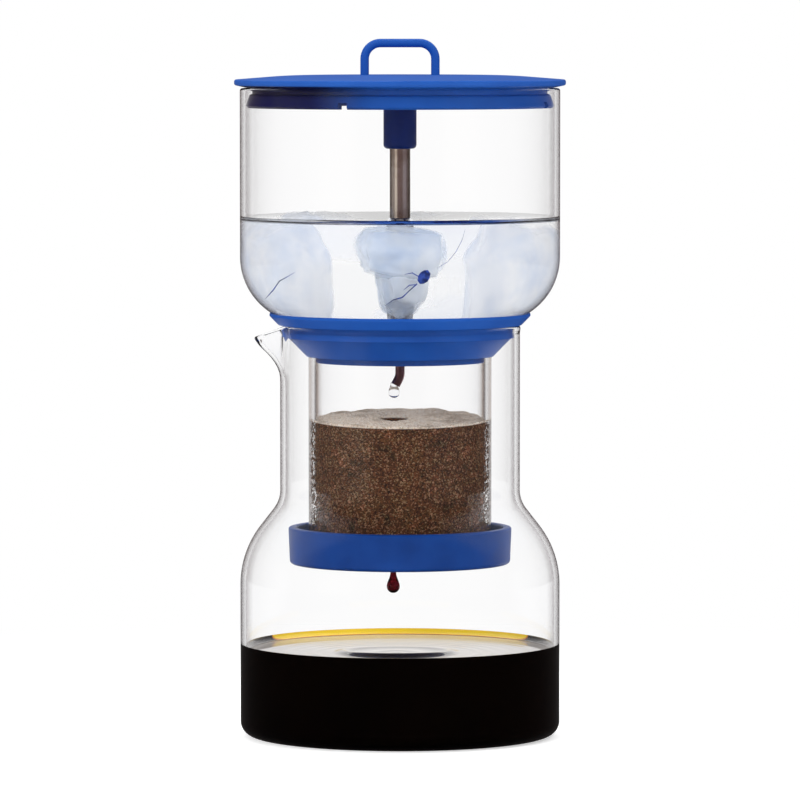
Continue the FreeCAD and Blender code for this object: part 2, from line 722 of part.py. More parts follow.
def make_knob_core():
    """Rigid core on the stem, with a cross bore for its screw."""
    body = new_body("knob_core")
    turned(body, [
        ("(stem_radius + running_gap)", CORE_Z),
        (CORE_RADIUS, CORE_Z),
        (CORE_RADIUS, CORE_TOP),
        ("(stem_radius + running_gap)", CORE_TOP),
    ])
    bore = body.newObject("PartDesign::Pocket", "ScrewBore")
    bore.Profile = circle(new_sketch(body, "ScrewBoreOutline", "YZ_Plane"),
                          "(screw_radius + press_gap)", "0", SCREW_Z)
    bore.Reversed = True
    bore.setExpression("Length", bound("knob_radius"))
    body.Tip = bore
    return body


def make_set_screw():
    """Headless screw along +X, flush with the core, with a hexagon socket in its outer end."""
    body = new_body("set_screw")
    start = "(stem_radius + 2 * running_gap)"
    shank = body.newObject("PartDesign::Pad", "Shank")
    shank.Profile = circle(new_sketch(body, "ShankOutline", "YZ_Plane", start), "screw_radius", "0", SCREW_Z)
    shank.setExpression("Length", bound(f"({CORE_RADIUS} - stem_radius - 5 * running_gap)"))
    socket = new_sketch(body, "SocketOutline", "YZ_Plane", f"({CORE_RADIUS} - hex_across)")
    outline(socket, [
        (f"(hex_across / sqrt(3) * cos({60 * corner}))",
         f"({SCREW_Z} + hex_across / sqrt(3) * sin({60 * corner}))") for corner in range(6)
    ])
    pocket = body.newObject("PartDesign::Pocket", "Socket")
    pocket.Profile = socket
    pocket.Reversed = True
    pocket.setExpression("Length", bound("(hex_across * 2)"))
    body.Tip = pocket
    return body


def make_knob_sleeve():
    """Silicone cap over the core, hanging down round the top of the valve tube."""
    return turned(new_body("knob_sleeve"), [
        (KNOB_BORE, KNOB_Z),
        ("knob_radius", KNOB_Z, "knob_round"),
        ("knob_radius", KNOB_TOP, "knob_round"),
        ("0", KNOB_TOP),
        ("0", f"({CORE_TOP} + press_gap)"),
        (KNOB_BORE, f"({CORE_TOP} + press_gap)"),
    ])


# --- lid ------------------------------------------------------------------------------------------------

def make_lid():
    """Silicone lid in one moulding: a domed disc with a rounded edge, a skirt with vents and a loop handle."""
    body = new_body("lid")
    edge_z = f"({LID_Z} + lid_rise)"
    edge_round = "(lid_edge * 0.42)"
    step_z = f"({LID_Z} - skirt_step)"
    turned(body, [
        ("0", LID_TOP),
        (f"({LID_RADIUS} - lid_slope)", LID_TOP, "dome_round"),
        (LID_RADIUS, f"({edge_z} + lid_edge)", edge_round),
        (LID_RADIUS, edge_z, edge_round),
        (f"({LID_RADIUS} - lid_lip)", LID_Z),
        (SKIRT_RADIUS, LID_Z),
        (SKIRT_RADIUS, step_z),
        (f"({SKIRT_RADIUS} + skirt_flare)", f"({step_z} - skirt_bevel / 2)", "skirt_round"),
        (SKIRT_SEAL, f"({SKIRT_Z} + skirt_bevel)"),
        (f"({SKIRT_SEAL} - skirt_bevel)", SKIRT_Z),
        (f"({SKIRT_RADIUS} + skirt_flare - skirt_wall)", SKIRT_Z),
        (f"({SKIRT_RADIUS} - skirt_wall)", f"({LID_TOP} - lid_web)", "ledge_round"),
        ("0", f"({LID_TOP} - lid_web)"),
    ])
    handle_half = "(handle_width / 2 - handle_rod)"
    root_z = f"({LID_TOP} - lid_web / 2)"
    path = outline(new_sketch(body, "HandlePath"), [
        (f"(-{handle_half})", root_z),
        (f"(-{handle_half})", f"({HANDLE_TOP} - handle_rod)", "(handle_corner - handle_rod)"),
        (handle_half, f"({HANDLE_TOP} - handle_rod)", "(handle_corner - handle_rod)"),
        (handle_half, root_z),
    ], closed=False)
    section = circle(new_sketch(body, "HandleSection", "XY_Plane", root_z), "handle_rod", f"(-{handle_half})")
    handle = body.newObject("PartDesign::AdditivePipe", "Handle")
    handle.Profile = section
    handle.Spine = path
    body.Tip = handle
    vent = cut_slot(body, "Vent", [
        ("(-vent_width / 2)", f"({SKIRT_Z} - vent_height)"),
        ("(vent_width / 2)", f"({SKIRT_Z} - vent_height)"),
        ("(vent_width / 2)", f"({SKIRT_Z} + vent_height)"),
        ("(-vent_width / 2)", f"({SKIRT_Z} + vent_height)"),
    ], "YZ_Plane", LID_RADIUS, turn=SIZES["vent_angle"])
    polar(body, vent, "vent_count")
    return body


# --- whole model ----------------------------------------------------------------------------------------

MAKERS = (
    make_carafe, make_neck_seal, make_chamber_tube, make_base_dish,
    make_filter_ring, make_filter_plate, make_filter_mesh,
    make_water_tower, make_valve_grommet, make_valve_tube, make_valve_seat, make_drip_spout,
    make_stem_bush, make_stem_o_ring, make_needle_stem,
    make_knob_core, make_set_screw, make_knob_sleeve, make_lid,
)


def check_model():
    """Stop on a failed feature, or on a piece that isn't one valid solid."""
    for item in doc.Objects:
        if {"Invalid", "Error"} & set(item.State):
            raise RuntimeError(f"{item.Label}: {item.State}")
    for part in parts:
        shape = part.Shape
        if shape.isNull() or not shape.isValid() or len(shape.Solids) != 1:
            raise RuntimeError(f"{part.Label}: not one valid solid")


def main():
    """Build, check and write every piece."""
    fill_sheet()
    for make in MAKERS:
        make()
    doc.recompute()
    check_model()
    os.makedirs("parts", exist_ok=True)
    for part in parts:
        part.Shape.exportStep(os.path.join("parts", part.Label + ".step"))
        box = part.Shape.BoundBox
        print(f"{part.Label}: volume {part.Shape.Volume:.1f}, z {box.ZMin:.2f} to {box.ZMax:.2f}")


main()
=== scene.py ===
"""Looks of a stacked cold brew coffee maker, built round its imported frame.

The three glass vessels get finer meshes in their nodes' places, and every other piece keeps its own mesh
with a better finish. The water and its ice, the grounds, the brewed coffee and two drops ride on the pieces
that hold them.
"""
import logging
import math
from dataclasses import dataclass, field
from enum import Enum
from typing import Callable, Optional, Sequence, Union

import bmesh
import bpy
from mathutils import Matrix, Vector, noise


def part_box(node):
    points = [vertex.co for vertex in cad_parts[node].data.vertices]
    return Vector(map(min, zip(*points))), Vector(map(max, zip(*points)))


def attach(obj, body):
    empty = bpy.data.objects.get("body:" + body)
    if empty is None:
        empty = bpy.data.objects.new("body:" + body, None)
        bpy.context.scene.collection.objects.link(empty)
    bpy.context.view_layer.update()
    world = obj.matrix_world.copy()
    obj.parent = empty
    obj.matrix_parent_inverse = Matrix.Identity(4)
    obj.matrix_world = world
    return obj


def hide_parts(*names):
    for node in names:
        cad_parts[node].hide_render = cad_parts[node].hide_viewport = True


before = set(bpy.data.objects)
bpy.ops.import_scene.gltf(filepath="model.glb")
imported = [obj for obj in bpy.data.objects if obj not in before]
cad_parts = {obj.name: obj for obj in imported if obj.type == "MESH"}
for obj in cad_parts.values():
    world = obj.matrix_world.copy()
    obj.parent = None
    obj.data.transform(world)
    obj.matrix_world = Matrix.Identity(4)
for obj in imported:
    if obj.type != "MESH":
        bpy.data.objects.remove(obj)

logging.basicConfig(level=logging.INFO, format="%(message)s")
LOG = logging.getLogger("cold_brew")

MM = 0.001
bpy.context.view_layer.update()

Colour = tuple[float, float, float]
Corner = tuple[float, ...]
Point = tuple[float, float, float]
Profile = list[tuple[float, float]]
Span = tuple[float, float]
Warp = Callable[[float, float, float], Point]
Material = bpy.types.Material
Piece = bpy.types.Object
Socket = bpy.types.NodeSocket

WHITE: Colour = (1.0, 1.0, 1.0)
BLACK: Colour = (0.0, 0.0, 0.0)


# --- measures of the frame ---

@dataclass(frozen=True)
class Extent:
    """A node's reach in millimetres."""

    radius: float
    bottom: float
    top: float

    @classmethod
    def of(cls, node: str) -> "Extent":
        """Read a node's box from the frame: its largest reach along +X, its lowest and its highest point."""
        low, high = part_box(node)
        return cls(high[0] / MM, low[2] / MM, high[2] / MM)


class Body(Enum):
    """Bodies of the frame that a piece made here can ride on."""

    CARAFE = "carafe"
    CHAMBER = "chamber"
    BASE = "chamber_base"
    FILTER = "filter"
    TOWER = "tower"


class Slot(Enum):
    """Material slots of the record that a piece made here belongs to."""

    GLASS = "clear_glass"
    RUBBER = "black_rubber"


# --- meshes ---

TURN_STEPS = 192
FINE_TURN_STEPS = 256
ROUND_STEPS = 8
SHARP_ANGLE = 35.0
ON_AXIS = 1e-6


def rounded(corners: Sequence[Corner], steps: int = ROUND_STEPS) -> Profile:
    """Turn corners into a closed profile, with an arc at each corner that has a radius.

    Args:
        corners: (radius, height) or (radius, height, rounding), in millimetres.
        steps: segments of each arc.

    Returns:
        The profile's points, in millimetres.
    """
    points: Profile = []
    for index, corner in enumerate(corners):
        here = Vector(corner[:2])
        if len(corner) < 3:
            points.append((here.x, here.y))
            continue
        before = (here - Vector(corners[index - 1][:2])).normalized()
        after = (Vector(corners[(index + 1) % len(corners)][:2]) - here).normalized()
        turn = before.angle(after)
        centre = here + (after - before).normalized() * (corner[2] / math.cos(turn / 2))
        start = here - before * corner[2] * math.tan(turn / 2) - centre
        side = 1.0 if before.x * after.y - before.y * after.x > 0 else -1.0
        for step in range(steps + 1):
            arm = start.copy()
            arm.rotate(Matrix.Rotation(side * turn * step / steps, 2))
            points.append((centre.x + arm.x, centre.y + arm.y))
    return points


def divided(profile: Profile, longest: float) -> Profile:
    """Cut the long sides of a closed profile into shorter ones, so that a warp has points to move.

    Args:
        profile: the profile's points, in millimetres.
        longest: the longest side to leave.

    Returns:
        The profile with its added points.
    """
    result: Profile = []
    for index, (radius, height) in enumerate(profile):
        next_radius, next_height = profile[(index + 1) % len(profile)]
        pieces = max(1, math.ceil(math.hypot(next_radius - radius, next_height - height) / longest))
        for piece in range(pieces):
            share = piece / pieces
            result.append((radius + (next_radius - radius) * share, height + (next_height - height) * share))
    return result


def mesh_object(name: str, mesh: bpy.types.Mesh) -> Piece:
    """Link a mesh as a new object at the origin.

    Args:
        name: the object's name.
        mesh: its mesh.

    Returns:
        The object.
    """
    thing = bpy.data.objects.new(name, mesh)
    bpy.context.scene.collection.objects.link(thing)
    return thing


def shape_object(name: str, shape: bmesh.types.BMesh) -> Piece:
    """Link a shape as a new object at the origin, and free it.

    Args:
        name: the name of the object and its mesh.
        shape: the shape.

    Returns:
        The object.
    """
    mesh = bpy.data.meshes.new(name)
    shape.to_mesh(mesh)
    shape.free()
    return mesh_object(name, mesh)


def smooth(thing: Piece, degrees: float = SHARP_ANGLE) -> Piece:
    """Shade a mesh smooth, with its edges sharper than an angle kept.

    Args:
        thing: the object.
        degrees: the angle.

    Returns:
        The same object.
    """
    thing.data.shade_smooth()
    thing.data.set_sharp_from_angle(angle=math.radians(degrees))
    return thing


def turned(name: str, profile: Profile, steps: int = TURN_STEPS, warp: Optional[Warp] = None) -> Piece:
    """Turn a closed profile about Z.

    Args:
        name: the piece's name.
        profile: (radius, height) points in millimetres; points on the axis close into a pole.
        steps: segments round the axis.
        warp: moves (angle, radius, height) to a new place, for a form that isn't round everywhere. It
            doesn't move a pole.

    Returns:
        The closed mesh as an object, with its faces pointing outwards.
    """
    area = sum(a[0] * b[1] - b[0] * a[1] for a, b in zip(profile, profile[1:] + profile[:1]))
    body = bmesh.new()
    rings: list[list[bmesh.types.BMVert]] = []
    for radius, height in profile if area > 0 else profile[::-1]:
        if radius < ON_AXIS:
            rings.append([body.verts.new((0.0, 0.0, height * MM))] * steps)
            continue
        ring = []
        for step in range(steps):
            place = (2 * math.pi * step / steps, radius, height)
            angle, out, up = warp(*place) if warp else place
            ring.append(body.verts.new((math.cos(angle) * out * MM, math.sin(angle) * out * MM, up * MM)))
        rings.append(ring)
    for ring, other in zip(rings, rings[1:] + rings[:1]):
        for step in range(steps):
            after = (step + 1) % steps
            corners = dict.fromkeys((ring[step], ring[after], other[after], other[step]))
            if len(corners) > 2:
                body.faces.new(corners)
    return smooth(shape_object(name, body))


def smooth_step(share: float) -> float:
    """Ease from 0 to 1."""
    share = min(max(share, 0.0), 1.0)
    return share * share * (3 - 2 * share)


def meniscus(edge: float, level: float, climb: float, creep: float, share: float) -> tuple[float, float]:
    """A point of the curve by which a liquid climbs its wall.

    Args:
        edge: radius of the curve's upper end.
        level: height of the still liquid.
        climb: how far the curve rises over it.
        creep: how far the curve reaches in from the edge.
        share: place along the curve, 0 at the wall and 1 on the level.

    Returns:
        The point's radius and height.
    """
    angle = share * math.pi / 2
    return edge - creep * (1 - math.cos(angle)), level + climb * (1 - math.sin(angle))


def dress(thing: Piece, material: Material, body: Body, slot: Slot = Slot.GLASS, *nodes: str) -> None:
    """Give a piece its finish, its body and the nodes that it stands for.

    Args:
        thing: the finished piece.
        material: its finish.
        body: the body that it rides on.
        slot: the record's material slot that it belongs to; not used.
        nodes: CAD nodes that it replaces.
    """
    thing.data.materials.clear()
    thing.data.materials.append(material)
    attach(thing, body.value)
    if nodes:
        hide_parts(*nodes)
    LOG.info("piece %s rides on %s", thing.name, body.value)


def finish_nodes(material: Material, *nodes: str) -> None:
    """Give CAD nodes a better material and leave their meshes alone.

    Args:
        material: the material.
        nodes: the nodes' names.
    """
    for node in nodes:
        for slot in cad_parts[node].material_slots:
            slot.material = material
        LOG.info("node %s keeps its mesh", node)


# --- node trees ---

def rgba(colour: Colour) -> tuple[float, float, float, float]:
    """A colour with full alpha."""
    return (*colour, 1.0)


class Tree:
    """A node tree, with short ways to add and join nodes."""

    def __init__(self, tree: bpy.types.NodeTree) -> None:
        """Take a tree and empty it."""
        self.tree = tree
        self.place: Optional[Socket] = None
        tree.nodes.clear()

    def add(self, kind: str, fed: Optional[dict[Union[str, int], object]] = None,
            **settings: object) -> bpy.types.Node:
        """Add a node.

        Args:
            kind: the node's type.
            fed: what goes into its inputs, by name or number: a socket to link from, or a plain value.
            settings: its properties.

        Returns:
            The node.
        """
        made = self.tree.nodes.new(kind)
        for key, setting in settings.items():
            setattr(made, key, setting)
        for key, value in (fed or {}).items():
            if isinstance(value, Socket):
                self.tree.links.new(value, made.inputs[key])
            else:
                made.inputs[key].default_value = value
        return made

    def compute(self, operation: str, *values: object, clamp: bool = False) -> Socket:
        """Join sockets or plain numbers by one operation."""
        made = self.add("ShaderNodeMath", dict(enumerate(values)), operation=operation, use_clamp=clamp)
        return made.outputs[0]

    def vector(self, operation: str, *values: object) -> bpy.types.Node:
        """Join vectors by one operation."""
        return self.add("ShaderNodeVectorMath", dict(enumerate(values)), operation=operation)

    def product(self, first: Socket, *others: Socket) -> Socket:
        """Multiply masks.

        Args:
            first: a mask.
            others: the masks to multiply it by.

        Returns:
            The product.
        """
        for other in others:
            first = self.compute("MULTIPLY", first, other)
        return first

    def axes(self, vector: Socket) -> bpy.types.NodeOutputs:
        """The X, Y and Z of a vector."""
        return self.add("ShaderNodeSeparateXYZ", {0: vector}).outputs

    def ranged(self, value: Socket, low: float, high: float, to: Span = (0.0, 1.0),
               soft: bool = False) -> Socket:
        """Map a stretch of a value to 0..1 or another stretch.

        Args:
            value: what is mapped.
            low: its value at the new stretch's start.
            high: its value at the new stretch's end; it may be the lower of the two.
            to: the new stretch.
            soft: whether it eases in and out.

        Returns:
            The mapped value.
        """
        return self.add("ShaderNodeMapRange", {
            "Value": value, "From Min": low, "From Max": high, "To Min": to[0], "To Max": to[1]},
            interpolation_type="SMOOTHSTEP" if soft else "LINEAR").outputs["Result"]

    def ramp(self, value: Socket, stops: Sequence[tuple[float, Colour]], curve: str = "LINEAR") -> Socket:
        """Map a value to colours.

        Args:
            value: from 0 to 1.
            stops: places along it, each with its colour.
            curve: how the colours follow each other.

        Returns:
            The colour.
        """
        made = self.add("ShaderNodeValToRGB", {0: value})
        made.color_ramp.interpolation = curve
        elements = made.color_ramp.elements
        while len(elements) < len(stops):
            elements.new(0.5)
        for element, (where, colour) in zip(elements, stops):
            element.position = where
            element.color = rgba(colour)
        return made.outputs[0]

    def mix(self, factor: object, first: object, second: object, blend: str = "MIX") -> Socket:
        """Mix two colours, each a socket or a plain colour with alpha."""
        fed = {"Factor": factor, "A": first, "B": second}
        return self.add("ShaderNodeMix", fed, data_type="RGBA", blend_type=blend).outputs["Result"]

    def blend(self, factor: Socket, first: Socket, second: Socket) -> Socket:
        """Mix two surfaces."""
        return self.add("ShaderNodeMixShader", {0: factor, 1: first, 2: second}).outputs[0]

    def noise(self, scale: object, detail: float = 4.0, rough: float = 0.5, place: Optional[Socket] = None,
              output: str = "Fac") -> Socket:
        """A noise over a place.

        Args:
            scale: waves per metre.
            detail: how many finer noises lie over the first.
            rough: their strength.
            place: the coordinates, by default the tree's own.
            output: which output to take.

        Returns:
            The noise.
        """
        where = self.place if place is None else place
        fed = {"Vector": where, "Scale": scale, "Detail": detail, "Roughness": rough}
        return self.add("ShaderNodeTexNoise", fed).outputs[output]

    def behind_glass(self, mask: Socket) -> Socket:
        """Keep a mask only for mirrored light that has crossed glass on its way."""
        crossed = self.add("ShaderNodeLightPath").outputs["Transmission Depth"]
        return self.product(mask, self.compute("GREATER_THAN", crossed, 0.5))

    def by_path(self, seen: Socket, mirrored: Socket, soft: Socket) -> Socket:
        """Show one look to the eye, another in mirrors, and a third as light on matte surfaces."""
        path = self.add("ShaderNodeLightPath").outputs
        return self.blend(path["Diffuse Depth"], self.blend(path["Glossy Depth"], seen, mirrored), soft)


class NodeShape(Tree):
    """A geometry node tree with named inputs, run once on an object and then baked into its mesh."""

    def __init__(self, name: str, **inputs: tuple[str, object]) -> None:
        """Start a tree that takes and gives a geometry.

        Args:
            name: the tree's name.
            inputs: its other inputs, each with the kind of its socket and the value that the modifier gives.
        """
        super().__init__(bpy.data.node_groups.new(name, "GeometryNodeTree"))
        sockets = self.tree.interface
        sockets.new_socket("Geometry", in_out="INPUT", socket_type="NodeSocketGeometry")
        sockets.new_socket("Geometry", in_out="OUTPUT", socket_type="NodeSocketGeometry")
        self.values: dict[str, object] = {}
        for label, (kind, value) in inputs.items():
            socket = sockets.new_socket(label, in_out="INPUT", socket_type="NodeSocket" + kind)
            self.values[socket.identifier] = value
        self.given = self.add("NodeGroupInput").outputs

    def bake(self, thing: Piece, geometry: Socket, material: Material) -> Piece:
        """End the tree, run it on an object and keep the result as its plain mesh.

        Args:
            thing: the object that gives the tree its geometry.
            geometry: the tree's last socket.
            material: the finish of what it makes.

        Returns:
            The same object.
        """
        real = self.add("GeometryNodeRealizeInstances", {0: geometry})
        paint = self.add("GeometryNodeSetMaterial", {0: real.outputs[0], "Material": material})
        self.add("NodeGroupOutput", {0: paint.outputs[0]})
        modifier = thing.modifiers.new(self.tree.name, "NODES")
        modifier.node_group = self.tree
        for identifier, value in self.values.items():
            modifier[identifier] = value
        bpy.context.view_layer.update()
        seen = thing.evaluated_get(bpy.context.evaluated_depsgraph_get())
        mesh = bpy.data.meshes.new_from_object(seen)
        thing.modifiers.remove(modifier)
        old = thing.data
        thing.data = mesh
        bpy.data.meshes.remove(old)
        return thing


def grain_group() -> bpy.types.NodeTree:
    """Shared grain of a surface: slow patches over a fine tooth.

    Returns:
        The group, with inputs Place, Patch Scale, Tooth Scale and Tooth, and outputs Patches and Height.
    """
    group = Tree(bpy.data.node_groups.new("moulded_grain", "ShaderNodeTree"))
    sockets = group.tree.interface
    sockets.new_socket("Place", in_out="INPUT", socket_type="NodeSocketVector")
    for name in ("Patch Scale", "Tooth Scale", "Tooth"):
        sockets.new_socket(name, in_out="INPUT", socket_type="NodeSocketFloat")
    for name in ("Patches", "Height"):
        sockets.new_socket(name, in_out="OUTPUT", socket_type="NodeSocketFloat")
    given = group.add("NodeGroupInput").outputs
    patches = group.noise(given["Patch Scale"], 3.0, place=given["Place"])
    tooth = group.noise(given["Tooth Scale"], 2.0, place=given["Place"])
    height = group.compute("MULTIPLY_ADD", tooth, given["Tooth"], patches)
    group.add("NodeGroupOutput", {"Patches": patches, "Height": height})
    return group.tree


GRAIN = grain_group()


class Shader(Tree):
    """A material's node tree: one surface shader, read in object coordinates."""

    def __init__(self, name: str, **values: object) -> None:
        """Start a material.

        Args:
            name: the material's name.
            values: plain values of its surface; underscores in their names stand for spaces.
        """
        self.material = bpy.data.materials.new(name)
        self.material.use_nodes = True
        super().__init__(self.material.node_tree)
        self.output = self.add("ShaderNodeOutputMaterial")
        plain = {key.replace("_", " "): value for key, value in values.items()}
        self.bsdf = self.add("ShaderNodeBsdfPrincipled", plain)
        self.show(self.bsdf.outputs[0])
        self.place = self.add("ShaderNodeTexCoord").outputs["Object"]

    def show(self, surface: Socket) -> None:
        """Make this the material's look."""
        self.tree.links.new(surface, self.output.inputs["Surface"])

    def paint(self, value: Socket, *names: str) -> None:
        """Feed inputs of the surface, by default its colour."""
        for name in names or ("Base Color",):
            self.tree.links.new(value, self.bsdf.inputs[name])

    def roughen(self, value: Socket, low: float, high: float) -> None:
        """Let a value from 0 to 1 set the roughness."""
        self.paint(self.ranged(value, 0.0, 1.0, (low, high)), "Roughness")

    def bump(self, height: Socket, distance: float, strength: float = 1.0) -> None:
        """Feed a height into the surface's normal; the distance is in metres."""
        made = self.add("ShaderNodeBump", {"Height": height, "Distance": distance, "Strength": strength})
        self.paint(made.outputs[0], "Normal")

    def grain(self, patch_scale: float, tooth: float = 0.0,
              tooth_scale: float = 4000.0) -> bpy.types.NodeOutputs:
        """Add the shared grain.

        Args:
            patch_scale: its patches per metre.
            tooth: strength of its teeth.
            tooth_scale: its teeth per metre.

        Returns:
            Its outputs.
        """
        return self.add("ShaderNodeGroup", {
            "Place": self.place, "Patch Scale": patch_scale, "Tooth Scale": tooth_scale, "Tooth": tooth},
            node_tree=GRAIN).outputs

    def cells(self, scale: float, place: Socket, feature: str = "F1") -> bpy.types.NodeOutputs:
        """Outputs of a pattern of cells over a place."""
        return self.add("ShaderNodeTexVoronoi", {"Vector": place, "Scale": scale}, feature=feature).outputs

    def facing(self) -> Socket:
        """Nought where the surface is looked at straight, one where it is seen edge on."""
        return self.add("ShaderNodeLayerWeight", {"Blend": 0.5}).outputs["Facing"]

    def lamps_pass(self) -> None:
        """Let lamps light what stands inside the glass, as thin clear glass does."""
        shadow = self.add("ShaderNodeLightPath").outputs["Is Shadow Ray"]
        clear = self.add("ShaderNodeBsdfTransparent").outputs[0]
        self.show(self.blend(shadow, self.bsdf.outputs[0], clear))


# --- finishes ---

@dataclass(frozen=True)
class GlassFinish:
    """Clear drawn glass, with painted shade: greyer where it is seen edge on."""

    name: str = "clear_glass_finish"
    bend: float = 1.2
    edge: Colour = (0.06, 0.05, 0.055)
    shade: Colour = (0.36, 0.33, 0.34)
    face: Colour = (0.995, 0.995, 1.0)
    edge_start: float = 0.70
    shade_at: float = 0.86

    def material(self) -> Material:
        """Build the material."""
        shader = Shader(self.name, Roughness=0.0, IOR=self.bend, Transmission_Weight=1.0)
        # Painted shade: the colour turns grey and then near black towards the silhouettes.
        shader.paint(shader.ramp(shader.facing(), [
            (0.0, WHITE), (self.edge_start, self.face), (self.shade_at, self.shade), (1.0, self.edge)]))
        shader.bump(shader.grain(25.0)["Height"], 0.00001, 0.4)
        shader.lamps_pass()
        return shader.material


@dataclass(frozen=True)
class SiliconeFinish:
    """Satin moulded silicone with a fine tooth, slightly dusty in patches."""

    name: str
    deep: Colour
    light: Colour
    rough: float = 0.44
    uneven: float = 0.08

    def tint(self, shader: Shader, patches: Socket) -> Socket:
        """Colour over the surface, from its dusty patches."""
        return shader.ramp(patches, [(0.35, self.deep), (0.65, self.light)])

    def material(self) -> Material:
        """Build the material."""
        shader = Shader(self.name, IOR=1.41, Specular_IOR_Level=0.32)
        grain = shader.grain(70.0, 0.35, 5200.0)
        shader.paint(self.tint(shader, grain["Patches"]))
        shader.roughen(grain["Patches"], self.rough - self.uneven, self.rough + self.uneven)
        shader.bump(grain["Height"], 0.00006, 0.5)
        return shader.material


@dataclass(frozen=True)
class LidFinish(SiliconeFinish):
    """The lid's silicone, with painted shade: darker on one side of its skirt, under the rim."""

    # wet is painted shade: a dark navy that stands for the shade on one side of the skirt under the rim.
    wet: Colour = (0.001, 0.003, 0.060)
    painted_shade_top: float = 250.0
    painted_shade_span: Span = (-36.0, -4.0)

    def tint(self, shader: Shader, patches: Socket) -> Socket:
        """Colour over the surface: the plain silicone, and painted shade on one side of the skirt under the
        rim.

        Args:
            shader: the material that it's for.
            patches: the silicone's dusty patches.

        Returns:
            The colour.
        """
        place = shader.axes(shader.place)
        # Painted shade: below the rim and towards -X the skirt turns dark navy.
        under = shader.compute("LESS_THAN", place["Z"], self.painted_shade_top * MM)
        side = shader.ranged(place["X"], self.painted_shade_span[1] * MM, self.painted_shade_span[0] * MM, soft=True)
        return shader.mix(shader.product(under, side), super().tint(shader, patches), rgba(self.wet))


@dataclass(frozen=True)
class SteelFinish:
    """Brushed steel with fine rings and a few faint stains."""

    name: str
    tone: Colour = (0.60, 0.57, 0.55)
    stain: Colour = (0.40, 0.33, 0.29)
    rough: float = 0.16
    ring_scale: float = 2600.0
    squeeze: Point = (0.15, 0.15, 1.0)

    def material(self) -> Material:
        """Build the material."""
        shader = Shader(self.name, Metallic=1.0)
        squeezed = shader.add("ShaderNodeMapping", {"Vector": shader.place, "Scale": self.squeeze}).outputs[0]
        rings = shader.noise(self.ring_scale, 3.0, place=squeezed)
        shader.paint(shader.ramp(shader.grain(160.0)["Patches"], [(0.4, self.tone), (0.75, self.stain)]))
        shader.roughen(rings, self.rough - 0.06, self.rough + 0.1)
        shader.bump(rings, 0.00001, 0.5)
        return shader.material


@dataclass(frozen=True)
class WovenFinish:
    """Fine steel cloth."""

    name: str = "woven_mesh_finish"
    pitch: float = 0.0005
    gap: Colour = (0.12, 0.11, 0.10)
    wire: Colour = (0.55, 0.54, 0.52)

    def material(self) -> Material:
        """Build the material."""
        shader = Shader(self.name, Metallic=1.0, Roughness=0.35)
        waves = [shader.add("ShaderNodeTexWave", {"Vector": shader.place, "Scale": 1 / self.pitch / 20},
                            wave_type="BANDS", bands_direction=axis).outputs["Fac"] for axis in "XY"]
        cross = shader.product(*waves)
        shader.paint(shader.ramp(cross, [(0.0, self.gap), (0.6, self.wire)]))
        shader.bump(cross, 0.0001)
        return shader.material


@dataclass(frozen=True)
class PlainFinish:
    """Matte moulded plastic or rubber of the hidden parts."""

    name: str
    tone: Colour
    rough: float = 0.5
    darker: float = 0.85

    def material(self) -> Material:
        """Build the material."""
        shader = Shader(self.name, Roughness=self.rough)
        grain = shader.grain(300.0, 0.4, 6000.0)
        dark = tuple(part * self.darker for part in self.tone)
        shader.paint(shader.ramp(grain["Patches"], [(0.3, dark), (0.7, self.tone)]))
        shader.bump(grain["Height"], 0.00005, 0.5)
        return shader.material


WATER_LEVEL = 198.2


@dataclass(frozen=True)
class WaterFinish:
    """Clear water, with a painted reflection of the blue silicone where it climbs the glass in front."""

    name: str = "water_finish"
    bend: float = 1.333
    clear: Colour = (0.985, 0.99, 1.0)
    # blue is a painted reflection of the blue silicone, laid on the water where it climbs the glass in front.
    blue: Colour = (0.07, 0.20, 0.66)
    painted_reflection_rise: Span = (WATER_LEVEL + 0.05, WATER_LEVEL + 0.3)
    painted_reflection_front: Span = (-8.0, -20.0)
    painted_reflection_left: Span = (-30.0, -8.0)
    painted_reflection_right: Span = (50.0, 34.0)

    def material(self) -> Material:
        """Build the material."""
        shader = Shader(self.name, Roughness=0.0, IOR=self.bend, Transmission_Weight=1.0)
        place = shader.axes(shader.place)
        # These masks place the painted reflection: just above the level, in front, over two stretches across.
        masks = [shader.ranged(place[axis], low * MM, high * MM) for axis, (low, high) in (
            ("Z", self.painted_reflection_rise), ("Y", self.painted_reflection_front), ("X", self.painted_reflection_left), ("X", self.painted_reflection_right))]
        shader.paint(shader.ramp(shader.product(*masks), [(0.0, self.clear), (1.0, self.blue)]))
        shader.bump(shader.grain(45.0)["Height"], 0.00003, 0.5)
        shader.lamps_pass()
        return shader.material


